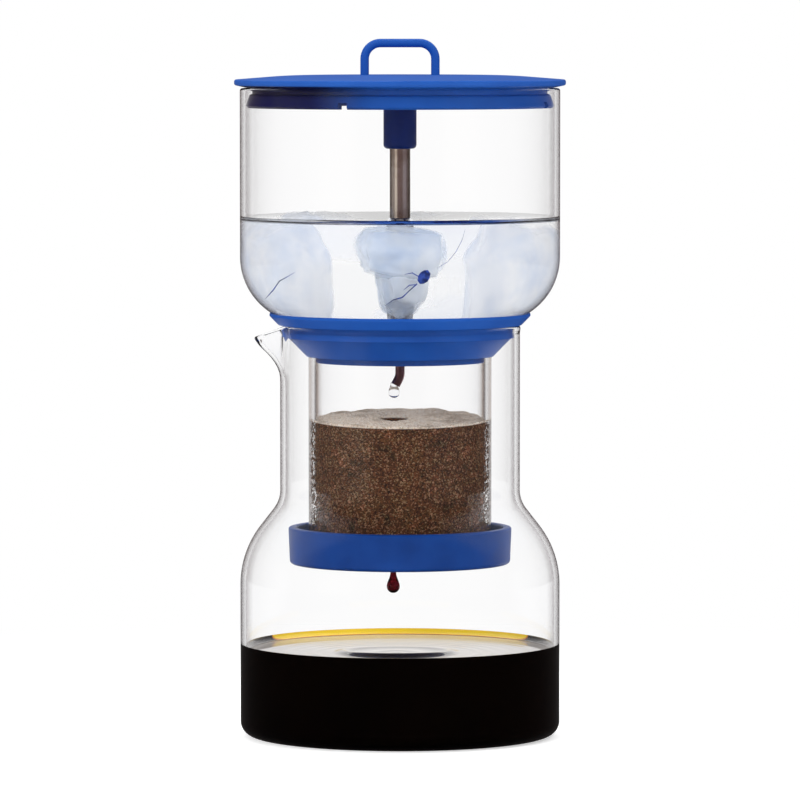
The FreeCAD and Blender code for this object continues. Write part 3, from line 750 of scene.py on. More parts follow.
@dataclass(frozen=True)
class IceFinish:
    """Cloudy ice: a clear skin over a milky blue heart, with a few dark cracks."""

    name: str
    clear: Colour = (0.96, 0.97, 0.99)
    milky: Colour = (0.70, 0.77, 0.90)
    crack: Colour = (0.03, 0.06, 0.22)
    crack_scale: float = 30.0
    crack_width: float = 0.009
    crack_start: float = 0.72
    crack_sway: float = 0.010
    transmission: float = 0.66
    rough: float = 0.45
    bend: float = 1.02
    fade: Span = (0.30, 0.92)

    def material(self) -> Material:
        """Build the material."""
        shader = Shader(self.name, IOR=self.bend, Transmission_Weight=self.transmission)
        clouds = shader.noise(55.0, 5.0, 0.6)
        tint = shader.ramp(clouds, [(0.36, self.milky), (0.60, self.clear)])
        sway = shader.noise(90.0, 2.0, output="Color")
        bent = shader.vector("MULTIPLY_ADD", sway, (self.crack_sway,) * 3, shader.place).outputs[0]
        lines = shader.cells(self.crack_scale, bent, "DISTANCE_TO_EDGE")["Distance"]
        thin = shader.ramp(lines, [(0.0, WHITE), (self.crack_width, BLACK)])
        some = shader.ramp(shader.noise(38.0, 2.0), [
            (self.crack_start, BLACK), (self.crack_start + 0.06, WHITE)])
        shader.paint(shader.mix(shader.product(thin, some), tint, rgba(self.crack)))
        shader.roughen(clouds, self.rough + 0.1, self.rough - 0.1)
        shader.bump(shader.noise(120.0, 3.0), 0.0005, 0.5)
        shader.paint(shader.ranged(shader.facing(), self.fade[1], self.fade[0], soft=True), "Alpha")
        shader.lamps_pass()
        return shader.material


@dataclass(frozen=True)
class CrackFinish:
    """A deep blue crack face in the ice, darker in patches."""

    name: str = "ice_crack_finish"
    dark: Colour = (0.020, 0.035, 0.16)
    blue: Colour = (0.045, 0.095, 0.45)

    def material(self) -> Material:
        """Build the material."""
        shader = Shader(self.name, Roughness=0.35, Specular_IOR_Level=0.2)
        shader.paint(shader.ramp(shader.noise(420.0, 3.0, 0.6), [(0.42, self.dark), (0.56, self.blue)]))
        return shader.material


@dataclass(frozen=True)
class BrewFinish:
    """Strong coffee in bulk: black, and without a sheen of its own where it wets the glass."""

    name: str = "brew_finish"
    tone: Colour = (0.0012, 0.0006, 0.0005)
    warm: Colour = (0.0022, 0.0010, 0.0006)

    def material(self) -> Material:
        """Build the material."""
        shader = Shader(self.name, Roughness=0.6, Specular_IOR_Level=0.0)
        shader.paint(shader.ramp(shader.noise(30.0), [(0.3, self.tone), (0.7, self.warm)]))
        return shader.material


BREW_LEVEL = 33.2
BREW_CLIMB = 2.3


@dataclass(frozen=True)
class BrewSurfaceFinish:
    """The coffee's still top: a mirror over black, amber where it thins out and climbs the glass, and glowing
    there as painted backlight.
    """

    name: str = "brew_surface_finish"
    black: Colour = (0.002, 0.001, 0.0008)
    orange: Colour = (0.55, 0.16, 0.01)
    amber: Colour = (0.90, 0.62, 0.04)
    sheen: Colour = (1.0, 0.93, 0.88)
    rise: Span = (BREW_LEVEL + 0.05, BREW_LEVEL + BREW_CLIMB)
    film_radius: float = 56.0
    painted_backlight: float = 0.45
    sight: Span = (0.52, 0.64)

    def film(self, shader: Shader) -> Socket:
        """Mask of the thin film at the wall: one in front and behind, nought at both sides of the object.

        Args:
            shader: the material that it's for.

        Returns:
            The mask.
        """
        normal = shader.axes(shader.add("ShaderNodeNewGeometry").outputs["Normal"])
        rest = shader.compute("SUBTRACT", 1.0, shader.product(normal["Z"], normal["Z"]), clamp=True)
        aside = shader.compute("ABSOLUTE", normal["Y"])
        ratio = shader.compute("DIVIDE", aside, shader.compute("SQRT", rest))
        return shader.ranged(ratio, *self.sight)

    def material(self) -> Material:
        """Build the material."""
        shader = Shader(self.name, Roughness=0.02, IOR=1.36, Coat_Weight=1.0, Coat_Roughness=0.0,
                        Coat_IOR=1.5, Sheen_Weight=1.0, Sheen_Roughness=0.3, Sheen_Tint=rgba(self.sheen),
                        Emission_Strength=self.painted_backlight)
        climbed = shader.ranged(shader.axes(shader.place)["Z"], *(height * MM for height in self.rise))
        flat = shader.vector("MULTIPLY", shader.place, (1.0, 1.0, 0.0)).outputs[0]
        out = shader.vector("LENGTH", flat).outputs["Value"]
        wall = shader.compute("GREATER_THAN", out, self.film_radius * MM)
        tint = shader.ramp(shader.product(climbed, wall, self.film(shader)), [
            (0.0, self.black), (0.02, self.black), (0.07, self.orange), (0.16, self.amber),
            (1.0, self.amber)])
        # The amber is painted light as well: fed into the emission, it glows as if lit from behind through
        # the film.
        shader.paint(tint, "Base Color", "Emission Color")
        return shader.material


@dataclass(frozen=True)
class DropFinish:
    """A hanging drop of coffee, dark red against the light."""

    name: str = "coffee_drop_finish"
    tone: Colour = (0.060, 0.003, 0.005)
    dark: Colour = (0.035, 0.002, 0.004)

    def material(self) -> Material:
        """Build the material."""
        shader = Shader(self.name, Roughness=0.0, IOR=1.34, Transmission_Weight=1.0)
        shader.paint(shader.ramp(shader.noise(300.0), [(0.3, self.tone), (0.7, self.dark)]))
        shader.lamps_pass()
        return shader.material


BED_LEVEL = 122.4
BED_TILT = 1.6
BED_REACH = 33


@dataclass(frozen=True)
class GroundsFinish:
    """Wet ground coffee: dark, with red and tan specks, and a paler, drier top."""

    name: str = "grounds_finish"
    specks: tuple[tuple[float, Colour], ...] = (
        (0.0, (0.030, 0.014, 0.009)), (0.45, (0.105, 0.052, 0.028)), (0.78, (0.19, 0.082, 0.040)),
        (0.93, (0.38, 0.25, 0.18)))
    patches: tuple[tuple[float, Colour], ...] = (
        (0.36, (0.42, 0.46, 0.34)), (0.46, (0.95, 0.74, 0.62)), (0.55, (0.82, 0.82, 0.60)),
        (0.64, (1.35, 1.00, 0.86)), (0.72, (1.5, 1.35, 1.1)))
    dry: tuple[tuple[float, Colour], ...] = (
        (0.0, (0.62, 0.48, 0.36)), (0.4, (1.0, 0.86, 0.72)), (1.0, (1.0, 0.95, 0.88)))
    worn: Colour = (0.70, 0.66, 0.62)
    grain_scale: float = 2100.0
    crust: Span = (BED_LEVEL - 0.80, BED_LEVEL - 0.45)

    def material(self) -> Material:
        """Build the material."""
        shader = Shader(self.name, Roughness=0.62, Specular_IOR_Level=0.3)
        cells = shader.cells(self.grain_scale, shader.place)
        speck = shader.add("ShaderNodeSeparateColor", {0: cells["Color"]}).outputs
        wet = shader.mix(1.0, shader.ramp(speck[0], self.specks),
                         shader.ramp(shader.noise(150.0, 5.0, 0.7), self.patches), "MULTIPLY")
        worn = shader.ramp(shader.noise(75.0, 4.0, 0.6), [(0.36, self.worn), (0.50, WHITE)])
        dry = shader.mix(1.0, shader.ramp(speck[1], self.dry), worn, "MULTIPLY")
        over = shader.vector("DOT_PRODUCT", shader.place, (0.0, -BED_TILT / BED_REACH, 1.0)).outputs["Value"]
        top = shader.ranged(over, *(height * MM for height in self.crust))
        shader.paint(shader.mix(top, wet, dry))
        shader.bump(cells["Distance"], 0.0003, 0.8)
        return shader.material


# --- carafe ---

@dataclass
class Carafe:
    """The glass carafe and its drawn pouring lip. Sizes are in millimetres."""

    wall: float = 2.0
    floor: float = 2.6
    foot_round: float = 5.5
    neck: float = 46.05
    shoulder: float = 70.9
    shoulder_angle: float = 37.8
    shoulder_round: float = 36.5
    throat_round: float = 12.0
    rim_start: float = 3.0
    rim_rise: float = 1.2
    rim_round: float = 2.0
    bead: float = 1.0
    bead_round: float = 1.0
    bead_out: float = 0.25
    bead_top: float = 0.1
    bead_in: float = 0.15
    lip_start: float = 137.5
    lip_reach: float = 9.6
    lip_drop: float = 4.3
    lip_spread: float = 19.0
    lip_ease: float = 1.32
    lip_swell: float = 1.02
    lip_focus: float = 1.35
    lip_droop: float = 0.9
    arc_steps: int = 14
    longest: float = 2.2
    steps: int = 280
    extent: Extent = field(default_factory=lambda: Extent.of("carafe"))

    def profile(self) -> Profile:
        """Section of the wall, from the foot up the outside and down the inside."""
        slope = math.radians(self.shoulder_angle)
        body, top, neck, wall = self.extent.radius, self.extent.top, self.neck, self.wall
        throat = self.shoulder + (body - neck) / math.tan(slope)
        shift = wall * math.tan(slope / 2)
        under, start, bead, ease = top - self.rim_rise, top - self.rim_start, self.bead, self.bead_round
        outside = [(0.0, 0.0), (body, 0.0, self.foot_round), (body, self.shoulder, self.shoulder_round),
                   (neck, throat, self.throat_round), (neck, start, self.rim_round),
                   (neck + self.bead_out, under, ease), (neck + self.bead_top, top, bead)]
        inside = [(neck - wall - self.bead_top, top, bead), (neck - wall - self.bead_in, under, ease),
                  (neck - wall, start, self.rim_round),
                  (neck - wall, throat - shift, self.throat_round + wall),
                  (body - wall, self.shoulder - shift, self.shoulder_round - wall),
                  (body - wall, self.floor, self.foot_round - wall), (0.0, self.floor)]
        return divided(rounded(outside + inside, self.arc_steps), self.longest)

    def lip(self, angle: float, radius: float, height: float) -> Point:
        """Draw the neck's wall outwards and down round -X, more towards the rim.

        Args:
            angle: a point's direction about the axis.
            radius: its distance from the axis.
            height: its height.

        Returns:
            The point's new angle, radius and height.
        """
        off = math.degrees(abs(math.remainder(angle - math.pi, 2 * math.pi)))
        if height < self.lip_start or radius < self.neck / 2 or off > self.lip_spread:
            return angle, radius, height
        across = 0.5 + 0.5 * math.cos(math.pi * off / self.lip_spread)
        rise = (height - self.lip_start) / (self.extent.top - self.lip_drop - self.lip_start)
        drawn = smooth_step(rise / self.lip_ease)
        reach = self.lip_reach * (drawn * self.lip_swell) * across ** self.lip_focus
        return angle, radius + reach, height - self.lip_drop * across ** self.lip_droop * drawn ** 2

    def build(self, glass: Material) -> None:
        """Make the vessel in its node's place."""
        vessel = turned("carafe_glass", self.profile(), self.steps, self.lip)
        dress(vessel, glass, Body.CARAFE, Slot.GLASS, "carafe")


@dataclass
class Brew:
    """Brewed coffee in the carafe, with ripples where drops fall and a meniscus. Sizes are in millimetres."""

    level: float = BREW_LEVEL
    climb: float = BREW_CLIMB
    creep: float = 2.6
    wet: float = 0.12
    skin: float = 0.3
    sheet_gap: float = 0.14
    sheet_sink: float = 0.01
    lining: float = 0.06
    curve_steps: int = 12
    rings: int = 130
    steps: int = 320
    centre: Span = (-1.3, -14.0)
    crest_radius: float = 20.5
    crest_width: float = 2.6
    crest_height: float = 1.1
    crest_lean: float = 0.75
    middle_wave: Point = (0.10, 9.0, 14.0)
    ripple: float = 0.05
    ripple_length: float = 5.2
    ripple_start: Span = (25.0, 6.0)
    ripple_fade: Span = (30.0, 22.0)
    calm_edge: float = 6.0
    fold_angle: float = 60.0

    def heave(self, x: float, y: float) -> float:
        """Height of the waves over the level: a crest, a wave inside it and ripples outside.

        Args:
            x: place across, in millimetres.
            y: place in depth.

        Returns:
            The height, in millimetres.
        """
        gone = math.hypot(x - self.centre[0], y - self.centre[1])
        toward = -(y - self.centre[1]) / max(gone, 1e-6)
        crest = (self.crest_height + self.crest_lean * toward) * math.exp(
            -((gone - self.crest_radius) / self.crest_width) ** 2)
        height, length, fade = self.middle_wave
        inner = height * math.cos(2 * math.pi * gone / length) * math.exp(-(gone / fade) ** 2)
        outer = self.ripple * math.cos(2 * math.pi * gone / self.ripple_length)
        outer *= smooth_step((gone - self.ripple_start[0]) / self.ripple_start[1])
        outer *= math.exp(-max(0.0, gone - self.ripple_fade[0]) / self.ripple_fade[1])
        return crest + inner + outer

    def build(self, carafe: Carafe, brew: Material, surface: Material) -> None:
        """Fill the carafe up to the level.

        Args:
            carafe: the vessel that holds it.
            brew: finish of the coffee in bulk.
            surface: finish of its top.
        """
        bore = carafe.extent.radius - carafe.wall + self.wet
        low = carafe.floor - self.wet
        under = self.level - self.skin
        corner = carafe.foot_round - carafe.wall + self.wet
        inner = bore - self.sheet_gap
        curve = []
        for step in range(self.curve_steps + 1):
            radius, height = meniscus(inner, self.level, self.climb, self.creep, step / self.curve_steps)
            curve.append((radius, height - self.sheet_sink))
        flat = curve[-1][0]
        lining = [(radius + self.lining, height - self.lining) for radius, height in curve[:-1]
                  if height - self.lining > under]
        outline = rounded([(0.0, low), (bore, low, corner), (bore, self.level + self.climb)])
        bulk = turned("brewed_coffee", outline + lining + [(flat, under), (0.0, under)], FINE_TURN_STEPS)
        dress(bulk, brew, Body.CARAFE)
        rings = [(flat * (1 - step / self.rings), self.level) for step in range(1, self.rings)]
        top = [(inner, under)] + curve + rings + [(0.0, self.level), (0.0, under)]
        sheet = turned("coffee_surface", top, self.steps)
        for vertex in sheet.data.vertices:
            x, y, z = vertex.co / MM
            if abs(z - self.level) < self.sheet_sink + 0.001:
                edge = smooth_step((flat - math.hypot(x, y)) / self.calm_edge)
                vertex.co.z += self.heave(x, y) * edge * MM
        dress(smooth(sheet, self.fold_angle), surface, Body.CARAFE)


# --- chamber ---

@dataclass
class Chamber:
    """Neck seal, glass tube, base dish and filter. Sizes are in millimetres."""

    tube: Extent = field(default_factory=lambda: Extent.of("chamber_tube"))
    tube_wall: float = 2.8
    end_round: float = 1.2
    longest: float = 8.0

    def tube_profile(self) -> Profile:
        """Section of the tube, with melted ends."""
        outer, inner, melt = self.tube.radius, self.tube.radius - self.tube_wall, self.end_round
        low, high = self.tube.bottom, self.tube.top
        corners = [(outer, low, melt), (outer, high, melt), (inner, high, melt), (inner, low, melt)]
        return divided(rounded(corners), self.longest)

    def build(self, glass: Material, blue: Material, deep: Material, steel: Material) -> None:
        """Make the tube in its node's place, and finish the silicone pieces and the filter.

        Args:
            glass: the tube's finish.
            blue: finish of the neck seal.
            deep: finish of the dish, the blue silicone darkened as painted shade.
            steel: finish of the filter's ring and plate.
        """
        dress(turned("chamber_glass", self.tube_profile()), glass, Body.CHAMBER, Slot.GLASS, "chamber_tube")
        finish_nodes(blue, "neck_seal")
        finish_nodes(deep, "base_dish")
        finish_nodes(steel, "filter_ring", "filter_plate")
        finish_nodes(WovenFinish().material(), "filter_mesh")


@dataclass
class Grounds:
    """The bed of ground coffee on the filter, with loose grains over it. Sizes are in millimetres."""

    clearance: float = -0.10
    bottom: float = 76.6
    level: float = BED_LEVEL
    heave: float = 1.0
    tilt: float = BED_TILT
    side_steps: int = 84
    rings: int = 36
    steps: int = 380
    waves: tuple[Point, ...] = ((11.0, 3.0, 1.0), (3.5, 9.0, 0.35))
    side_rough: float = 0.42
    side_grit: Span = (0.8, 0.7)
    pit_place: float = -2.3
    pit_depth: float = 7.0
    pit_span: Span = (4.0, 6.2)
    seed: int = 7
    grains_per_area: float = 2.2e6
    grain_size: float = 0.30
    grain_thin: Point = (0.5, 0.5, 0.5)
    grain_thick: Point = (1.5, 1.2, 1.0)

    def pit(self, x: float, y: float) -> float:
        """Depth of the pit under the drip; the pole in the bed's middle isn't sunk and stands up in it.

        Args:
            x: place across, in millimetres.
            y: place in depth.

        Returns:
            The depth, in millimetres.
        """
        near, far = self.pit_span
        share = (far - math.hypot(x - self.pit_place, y)) / (far - near)
        return self.pit_depth * min(1.0, max(0.0, share))

    def surface(self, radius: float, angle: float) -> float:
        """Height of the bed's top.

        Args:
            radius: a place's distance from the axis, in millimetres.
            angle: its direction.

        Returns:
            The height, in millimetres.
        """
        x, y = radius * math.cos(angle), radius * math.sin(angle)
        rough = 0.0
        for length, layer, share in self.waves:
            rough += noise.noise(Vector((x / length, y / length, layer))) * self.heave * share
        return self.level + self.tilt * y / BED_REACH + rough - self.pit(x, y)

    def heap(self, angle: float, radius: float, height: float) -> Point:
        """Lift the top to the bed's surface and roughen the side.

        Args:
            angle: a point's direction about the axis.
            radius: its distance from the axis.
            height: its height.

        Returns:
            The point's new angle, radius and height.
        """
        share = (height - self.bottom) / (self.level - self.bottom)
        lifted = self.bottom + (self.surface(radius, angle) - self.bottom) * share
        across, up = self.side_grit
        place = Vector((math.cos(angle) * radius / across, math.sin(angle) * radius / across, height / up))
        return angle, radius - abs(noise.noise(place)) * self.side_rough, lifted

    def build(self, chamber: Chamber, grounds: Material, grain: Material) -> None:
        """Make the bed and strew grains over its top and its side.

        Args:
            chamber: the tube that holds it.
            grounds: the bed's finish.
            grain: the loose grains' finish.
        """
        edge = chamber.tube.radius - chamber.tube_wall - self.clearance
        tall, count = self.level - self.bottom, self.side_steps
        profile = [(0.0, self.bottom), (edge, self.bottom)]
        profile += [(edge, self.bottom + tall * step / count) for step in range(1, count + 1)]
        profile += [(edge * (1 - step / self.rings), self.level) for step in range(1, self.rings)]
        bed = turned("coffee_grounds", profile + [(0.0, self.level)], self.steps, self.heap)
        dress(bed, grounds, Body.FILTER, Slot.RUBBER)
        dress(self.grains(bed, grain), grain, Body.FILTER, Slot.RUBBER)

    def grains(self, bed: Piece, grain: Material) -> Piece:
        """Strew small shards of coffee over the bed by a node tree.

        Args:
            bed: the finished bed.
            grain: the shards' finish.

        Returns:
            The shards as one plain mesh.
        """
        thing = mesh_object("loose_grains", bed.data.copy())
        shape = NodeShape("grain_scatter", Density=("Float", self.grains_per_area), Seed=("Int", self.seed),
                          Grain=("Float", self.grain_size * MM))
        given, seed = shape.given, shape.given["Seed"]
        spread = shape.add("GeometryNodeDistributePointsOnFaces", {
            "Mesh": given["Geometry"], "Density": given["Density"], "Seed": seed})
        stone = shape.add("GeometryNodeMeshCone", {
            "Vertices": 3, "Radius Bottom": given["Grain"], "Depth": given["Grain"]})
        turn = shape.add("FunctionNodeRandomValue", {
            "Max": (math.tau, math.tau, math.tau), "Seed": seed}, data_type="FLOAT_VECTOR")
        size = shape.add("FunctionNodeRandomValue", {
            "Min": self.grain_thin, "Max": self.grain_thick, "Seed": seed}, data_type="FLOAT_VECTOR")
        laid = shape.add("GeometryNodeInstanceOnPoints", {
            "Points": spread.outputs["Points"], "Instance": stone.outputs["Mesh"],
            "Rotation": turn.outputs["Value"], "Scale": size.outputs["Value"]})
        return shape.bake(thing, laid.outputs[0], grain)


# --- water tower ---

@dataclass
class Tower:
    """The water vessel. Sizes are in millimetres."""

    wall: float = 2.0
    floor: float = 2.5
    corner: float = 25.5
    hole: float = 6.0
    bead: float = 0.96
    bead_round: float = 1.0
    bead_lean: Span = (0.05, 0.1)
    rim_rise: float = 1.6
    arc_steps: int = 20
    longest: float = 6.0
    extent: Extent = field(default_factory=lambda: Extent.of("water_tower"))

    def profile(self) -> Profile:
        """Section of the wall."""
        outer, inner = self.extent.radius, self.extent.radius - self.wall
        low, top, bead, ease = self.extent.bottom, self.extent.top, self.bead, self.bead_round
        under, inside = top - self.rim_rise, low + self.floor
        return divided(rounded([
            (self.hole, low), (outer, low, self.corner), (outer, under, ease),
            (outer - self.bead_lean[0], top, bead), (inner - self.bead_lean[1], top, bead),
            (inner, under, ease), (inner, inside, self.corner - self.wall),
            (self.hole, inside)], self.arc_steps), self.longest)

    def build(self, glass: Material) -> None:
        """Make the vessel in its node's place."""
        vessel = turned("water_tower_glass", self.profile(), FINE_TURN_STEPS)
        dress(vessel, glass, Body.TOWER, Slot.GLASS, "water_tower")


@dataclass
class IcedWater:
    """Water round the valve, with lumps of ice afloat in it. Sizes are in millimetres."""

    level: float = WATER_LEVEL
    climb: float = 1.85
    creep: float = 2.3
    wet: float = 0.12
    edge_gap: float = 0.15
    core: float = 4.02
    hole: float = 9.1
    foot: float = 163.4
    ring_step: float = 1.4
    rings: int = 35
    arc_steps: int = 24
    curve_steps: int = 10
    collar_room: float = 2.2
    collar: tuple[Span, ...] = ((1.8, 0.0), (0.7, 0.3), (0.0, 1.1))

    def profile(self, tower: Tower) -> Profile:
        """Section of the water: floor, corner, wall, menisci and the hole for the valve.

        The section runs in to the hole at the level and back out to the wall before it follows the meniscus.

        Args:
            tower: the vessel that holds it.

        Returns:
            The section's points.
        """
        bore = tower.extent.radius - tower.wall + self.wet
        low = tower.extent.bottom + tower.floor - self.wet
        radius = tower.corner - tower.wall + self.wet
        outline = rounded([(self.hole, low), (bore, low, radius), (bore, self.level + self.climb),
                           (self.hole, self.level)], self.arc_steps)
        rim = [meniscus(bore - self.edge_gap, self.level, self.climb, self.creep, step / self.curve_steps)
               for step in range(1, self.curve_steps + 1)]
        flat = [(rim[-1][0] - self.ring_step * step, self.level) for step in range(1, self.rings + 1)]
        flat = [point for point in flat if point[0] > self.core + self.collar_room]
        collar = [(self.core + out, self.level + up) for out, up in self.collar]
        return outline + rim + flat + collar + [(self.core, self.foot), (self.hole, self.foot)]

    def build(self, tower: Tower, water: Material) -> None:
        """Fill the vessel up to the level."""
        dress(turned("iced_water", self.profile(tower), FINE_TURN_STEPS), water, Body.TOWER)


@dataclass(frozen=True)
class IceLump:
    """One lump of ice, by its middle, half sizes and turn, in millimetres and degrees."""

    name: str
    middle: Point
    half: Point
    turn: Point
    seed: int
    lumpy: float = 0.08
    clear: float = 0.8
    melt: float = 0.62
    ball: float = 1.18
    lump_scale: float = 1.7
    cuts: int = 15
    corner_ease: Span = (3.0, 2.0)
    all_smooth: float = 180.0

    def kept_inside(self, place: Vector, tower: Tower) -> Vector:
        """Move a point of the lump clear of the vessel's glass.

        Args:
            place: the point, in millimetres.
            tower: the vessel.

        Returns:
            The same point, moved in where it reached the glass.
        """
        low = tower.extent.bottom + tower.floor + self.clear
        bore = tower.extent.radius - tower.wall
        limit = bore - self.clear
        if place.z < low + tower.corner:
            tighter, wider = self.corner_ease
            arc = tower.corner - tighter
            over = math.sqrt(max(0.0, arc ** 2 - (low + arc - place.z) ** 2))
            limit = bore - tower.corner + wider + over
        gone = math.hypot(place.x, place.y)
        if gone > limit:
            place.x *= limit / gone
            place.y *= limit / gone
        place.z = max(place.z, low)
        return place

    def build(self, tower: Tower, ice: Material) -> None:
        """Melt a block into a rounded lump, kept clear of the glass.

        Args:
            tower: the vessel that it floats in.
            ice: its finish.
        """
        block = bmesh.new()
        bmesh.ops.create_cube(block, size=2.0)
        bmesh.ops.subdivide_edges(block, edges=block.edges, cuts=self.cuts, use_grid_fill=True)
        about_x, about_y, about_z = (
            Matrix.Rotation(math.radians(angle), 4, axis) for angle, axis in zip(self.turn, "XYZ"))
        spin = about_z @ about_y @ about_x
        for vertex in block.verts:
            here = vertex.co.copy()
            ball = here.normalized()
            melted = here.lerp(ball * self.ball, self.melt)
            where = ball * self.lump_scale + Vector((self.seed, 0, 0))
            swell = 1.0 + self.lumpy * noise.fractal(where, 0.9, 2.1, 3)
            melted = Vector(a * b for a, b in zip(melted * swell, self.half))
            vertex.co = self.kept_inside(spin @ melted + Vector(self.middle), tower) * MM
        dress(smooth(shape_object(self.name, block), self.all_smooth), ice, Body.TOWER)


ICE = (
    IceLump("ice_left", (-40.0, -3.0, 184.0), (16.0, 18.0, 15.5), (6, -20, 14), 11),
    IceLump("ice_right", (39.0, -2.0, 182.0), (15.5, 18.0, 15.8), (-6, 12, -25), 47),
)
MILKY_ICE = (
    IceLump("ice_middle", (0.3, -27.0, 188.2), (14.0, 10.0, 8.6), (5, 4, 10), 31),
    IceLump("ice_middle_low", (0.6, -25.0, 180.5), (7.0, 8.0, 8.5), (0, 0, 25), 37),
)
CLEAR_ICE = (
    IceLump("ice_left_back", (-21.0, 12.0, 192.0), (12.0, 12.0, 7.5), (12, 8, 40), 23, 0.07),
    IceLump("ice_clear_back", (10.0, 33.0, 190.5), (14.0, 12.0, 9.0), (8, 0, 35), 59, 0.10),
)


@dataclass(frozen=True)
class IceCrack:
    """A dark crack in the ice, in millimetres.

    Its route is in points across and up, thick is its half width at each, and forward is its place in depth.
    """

    name: str
    route: tuple[Span, ...]
    forward: float
    thick: tuple[float, ...]
    sides: int = 8
    depth: float = 0.35
    sway: float = 0.8
    sway_scale: float = 0.7
    sway_layer: float = 3.0
    fold_angle: float = 70.0

    def ring(self, shape: bmesh.types.BMesh, index: int) -> list[bmesh.types.BMVert]:
        """Add the flattened ring of points round one point of the route.

        Args:
            shape: the mesh to add to.
            index: which point of the route.

        Returns:
            The ring's points.
        """
        across, up = self.route[index]
        before, after = self.route[max(index - 1, 0)], self.route[min(index + 1, len(self.route) - 1)]
        along = Vector((after[0] - before[0], 0.0, after[1] - before[1])).normalized()
        aside = Vector((-along.z, 0.0, along.x))
        sway = noise.noise(Vector((across * self.sway_scale, up * self.sway_scale, self.sway_layer)))
        middle = Vector((across, self.forward + self.sway * sway, up))
        half = self.thick[index]
        ring = []
        for side in range(self.sides):
            turn = 2 * math.pi * side / self.sides
            inward = Vector((0.0, self.depth * half * math.sin(turn), 0.0))
            ring.append(shape.verts.new((middle + aside * half * math.cos(turn) + inward) * MM))
        return ring

    def build(self, crack: Material) -> None:
        """Lay a flattened, tapering vein along the route.

        Args:
            crack: its finish.
        """
        sheet = bmesh.new()
        rings = [self.ring(sheet, index) for index in range(len(self.route))]
        for first, second in zip(rings, rings[1:]):
            for side in range(self.sides):
                after = (side + 1) % self.sides
                sheet.faces.new((first[side], first[after], second[after], second[side]))
        for end in (rings[0], rings[-1]):
            sheet.faces.new(end)
        bmesh.ops.recalc_face_normals(sheet, faces=sheet.faces)
        dress(smooth(shape_object(self.name, sheet), self.fold_angle), crack, Body.TOWER)


CRACKS = (
    IceCrack("ice_crack_left", ((-51.3, 169.2), (-48.0, 172.2), (-45.2, 174.6), (-42.0, 177.8),
                                (-38.8, 179.2), (-35.4, 180.8)),
             -24.0, (0.04, 0.15, 0.22, 0.16, 0.10, 0.03)),
    IceCrack("ice_crack_middle", ((-5.2, 171.0), (-2.4, 172.8), (0.8, 173.6), (3.2, 175.6), (5.8, 177.6)),
             -37.5, (0.05, 0.14, 0.22, 0.14, 0.22)),
    IceCrack("ice_crack_rise", ((12.8, 182.1), (16.4, 184.1), (19.2, 187.7), (21.4, 192.0), (22.6, 196.3)),
             -37.5, (0.04, 0.07, 0.08, 0.07, 0.03)),
    IceCrack("ice_crack_spot", ((6.4, 178.1), (7.2, 178.8), (8.2, 179.6), (9.2, 180.4), (10.0, 181.1)),
             -37.2, (0.7, 1.5, 1.8, 1.5, 0.7)),
    IceCrack("ice_crack_spur", ((6.2, 179.8), (4.2, 180.8), (1.6, 180.4)), -37.3, (0.14, 0.16, 0.04)),
    IceCrack("ice_crack_tick", ((5.2, 177.4), (3.2, 177.2), (1.2, 175.8)), -37.3, (0.12, 0.16, 0.04)),
)


# --- valve, knob, lid and drops ---

@dataclass(frozen=True)
class Valve:
    """Steel tube, seat, needle, spout, grommet, bush, o-ring and knob."""

    plastic: Colour = (0.78, 0.78, 0.76)
    rubber: Colour = (0.02, 0.02, 0.02)

    def build(self, steel: Material, stained: Material, blue: Material, knob: Material) -> None:
        """Finish the valve's nodes.

        Args:
            steel: finish of the turned pieces.
            stained: finish of the spout.
            blue: finish of the grommet.
            knob: finish of the knob's sleeve.
        """
        finish_nodes(steel, "valve_tube", "valve_seat", "needle_stem", "set_screw")
        finish_nodes(stained, "drip_spout")
        finish_nodes(blue, "valve_grommet")
        finish_nodes(knob, "knob_sleeve")
        finish_nodes(PlainFinish("bush_finish", self.plastic).material(), "stem_bush", "knob_core")
        finish_nodes(PlainFinish("ring_finish", self.rubber).material(), "stem_o_ring")


class Lid:
    """Silicone lid and its loop handle."""

    def build(self, blue: Material) -> None:
        """Finish the lid's node."""
        finish_nodes(blue, "lid")


@dataclass
class Drop:
    """A hanging drop, by its top, its length and the radii of its belly and its neck, in millimetres."""

    name: str
    top: Point
    length: float
    radius: float
    neck: float
    flank_steps: int = 12
    flank_curve: float = 1.3
    steps: int = 48

    def build(self, body: Body, finish: Material) -> None:
        """Turn the drop about its own upright axis.

        Args:
            body: the body that it hangs from.
            finish: its finish.
        """
        profile: Profile = [(0.0, 0.0), (self.neck, 0.0)]
        belly = self.length - self.radius
        for step in range(1, self.flank_steps + 1):
            share = step / self.flank_steps
            flare = smooth_step(share) ** self.flank_curve
            profile.append((self.neck + (self.radius - self.neck) * flare, -belly * share))
        for step in range(1, self.flank_steps):
            angle = math.pi / 2 * step / self.flank_steps
            profile.append((self.radius * math.cos(angle), -belly - self.radius * math.sin(angle)))
        profile.append((0.0, -self.length))
        drop = turned(self.name, profile, self.steps)
        drop.data.transform(Matrix.Translation(Vector(self.top) * MM))
        dress(drop, finish, body)


# --- studio ---

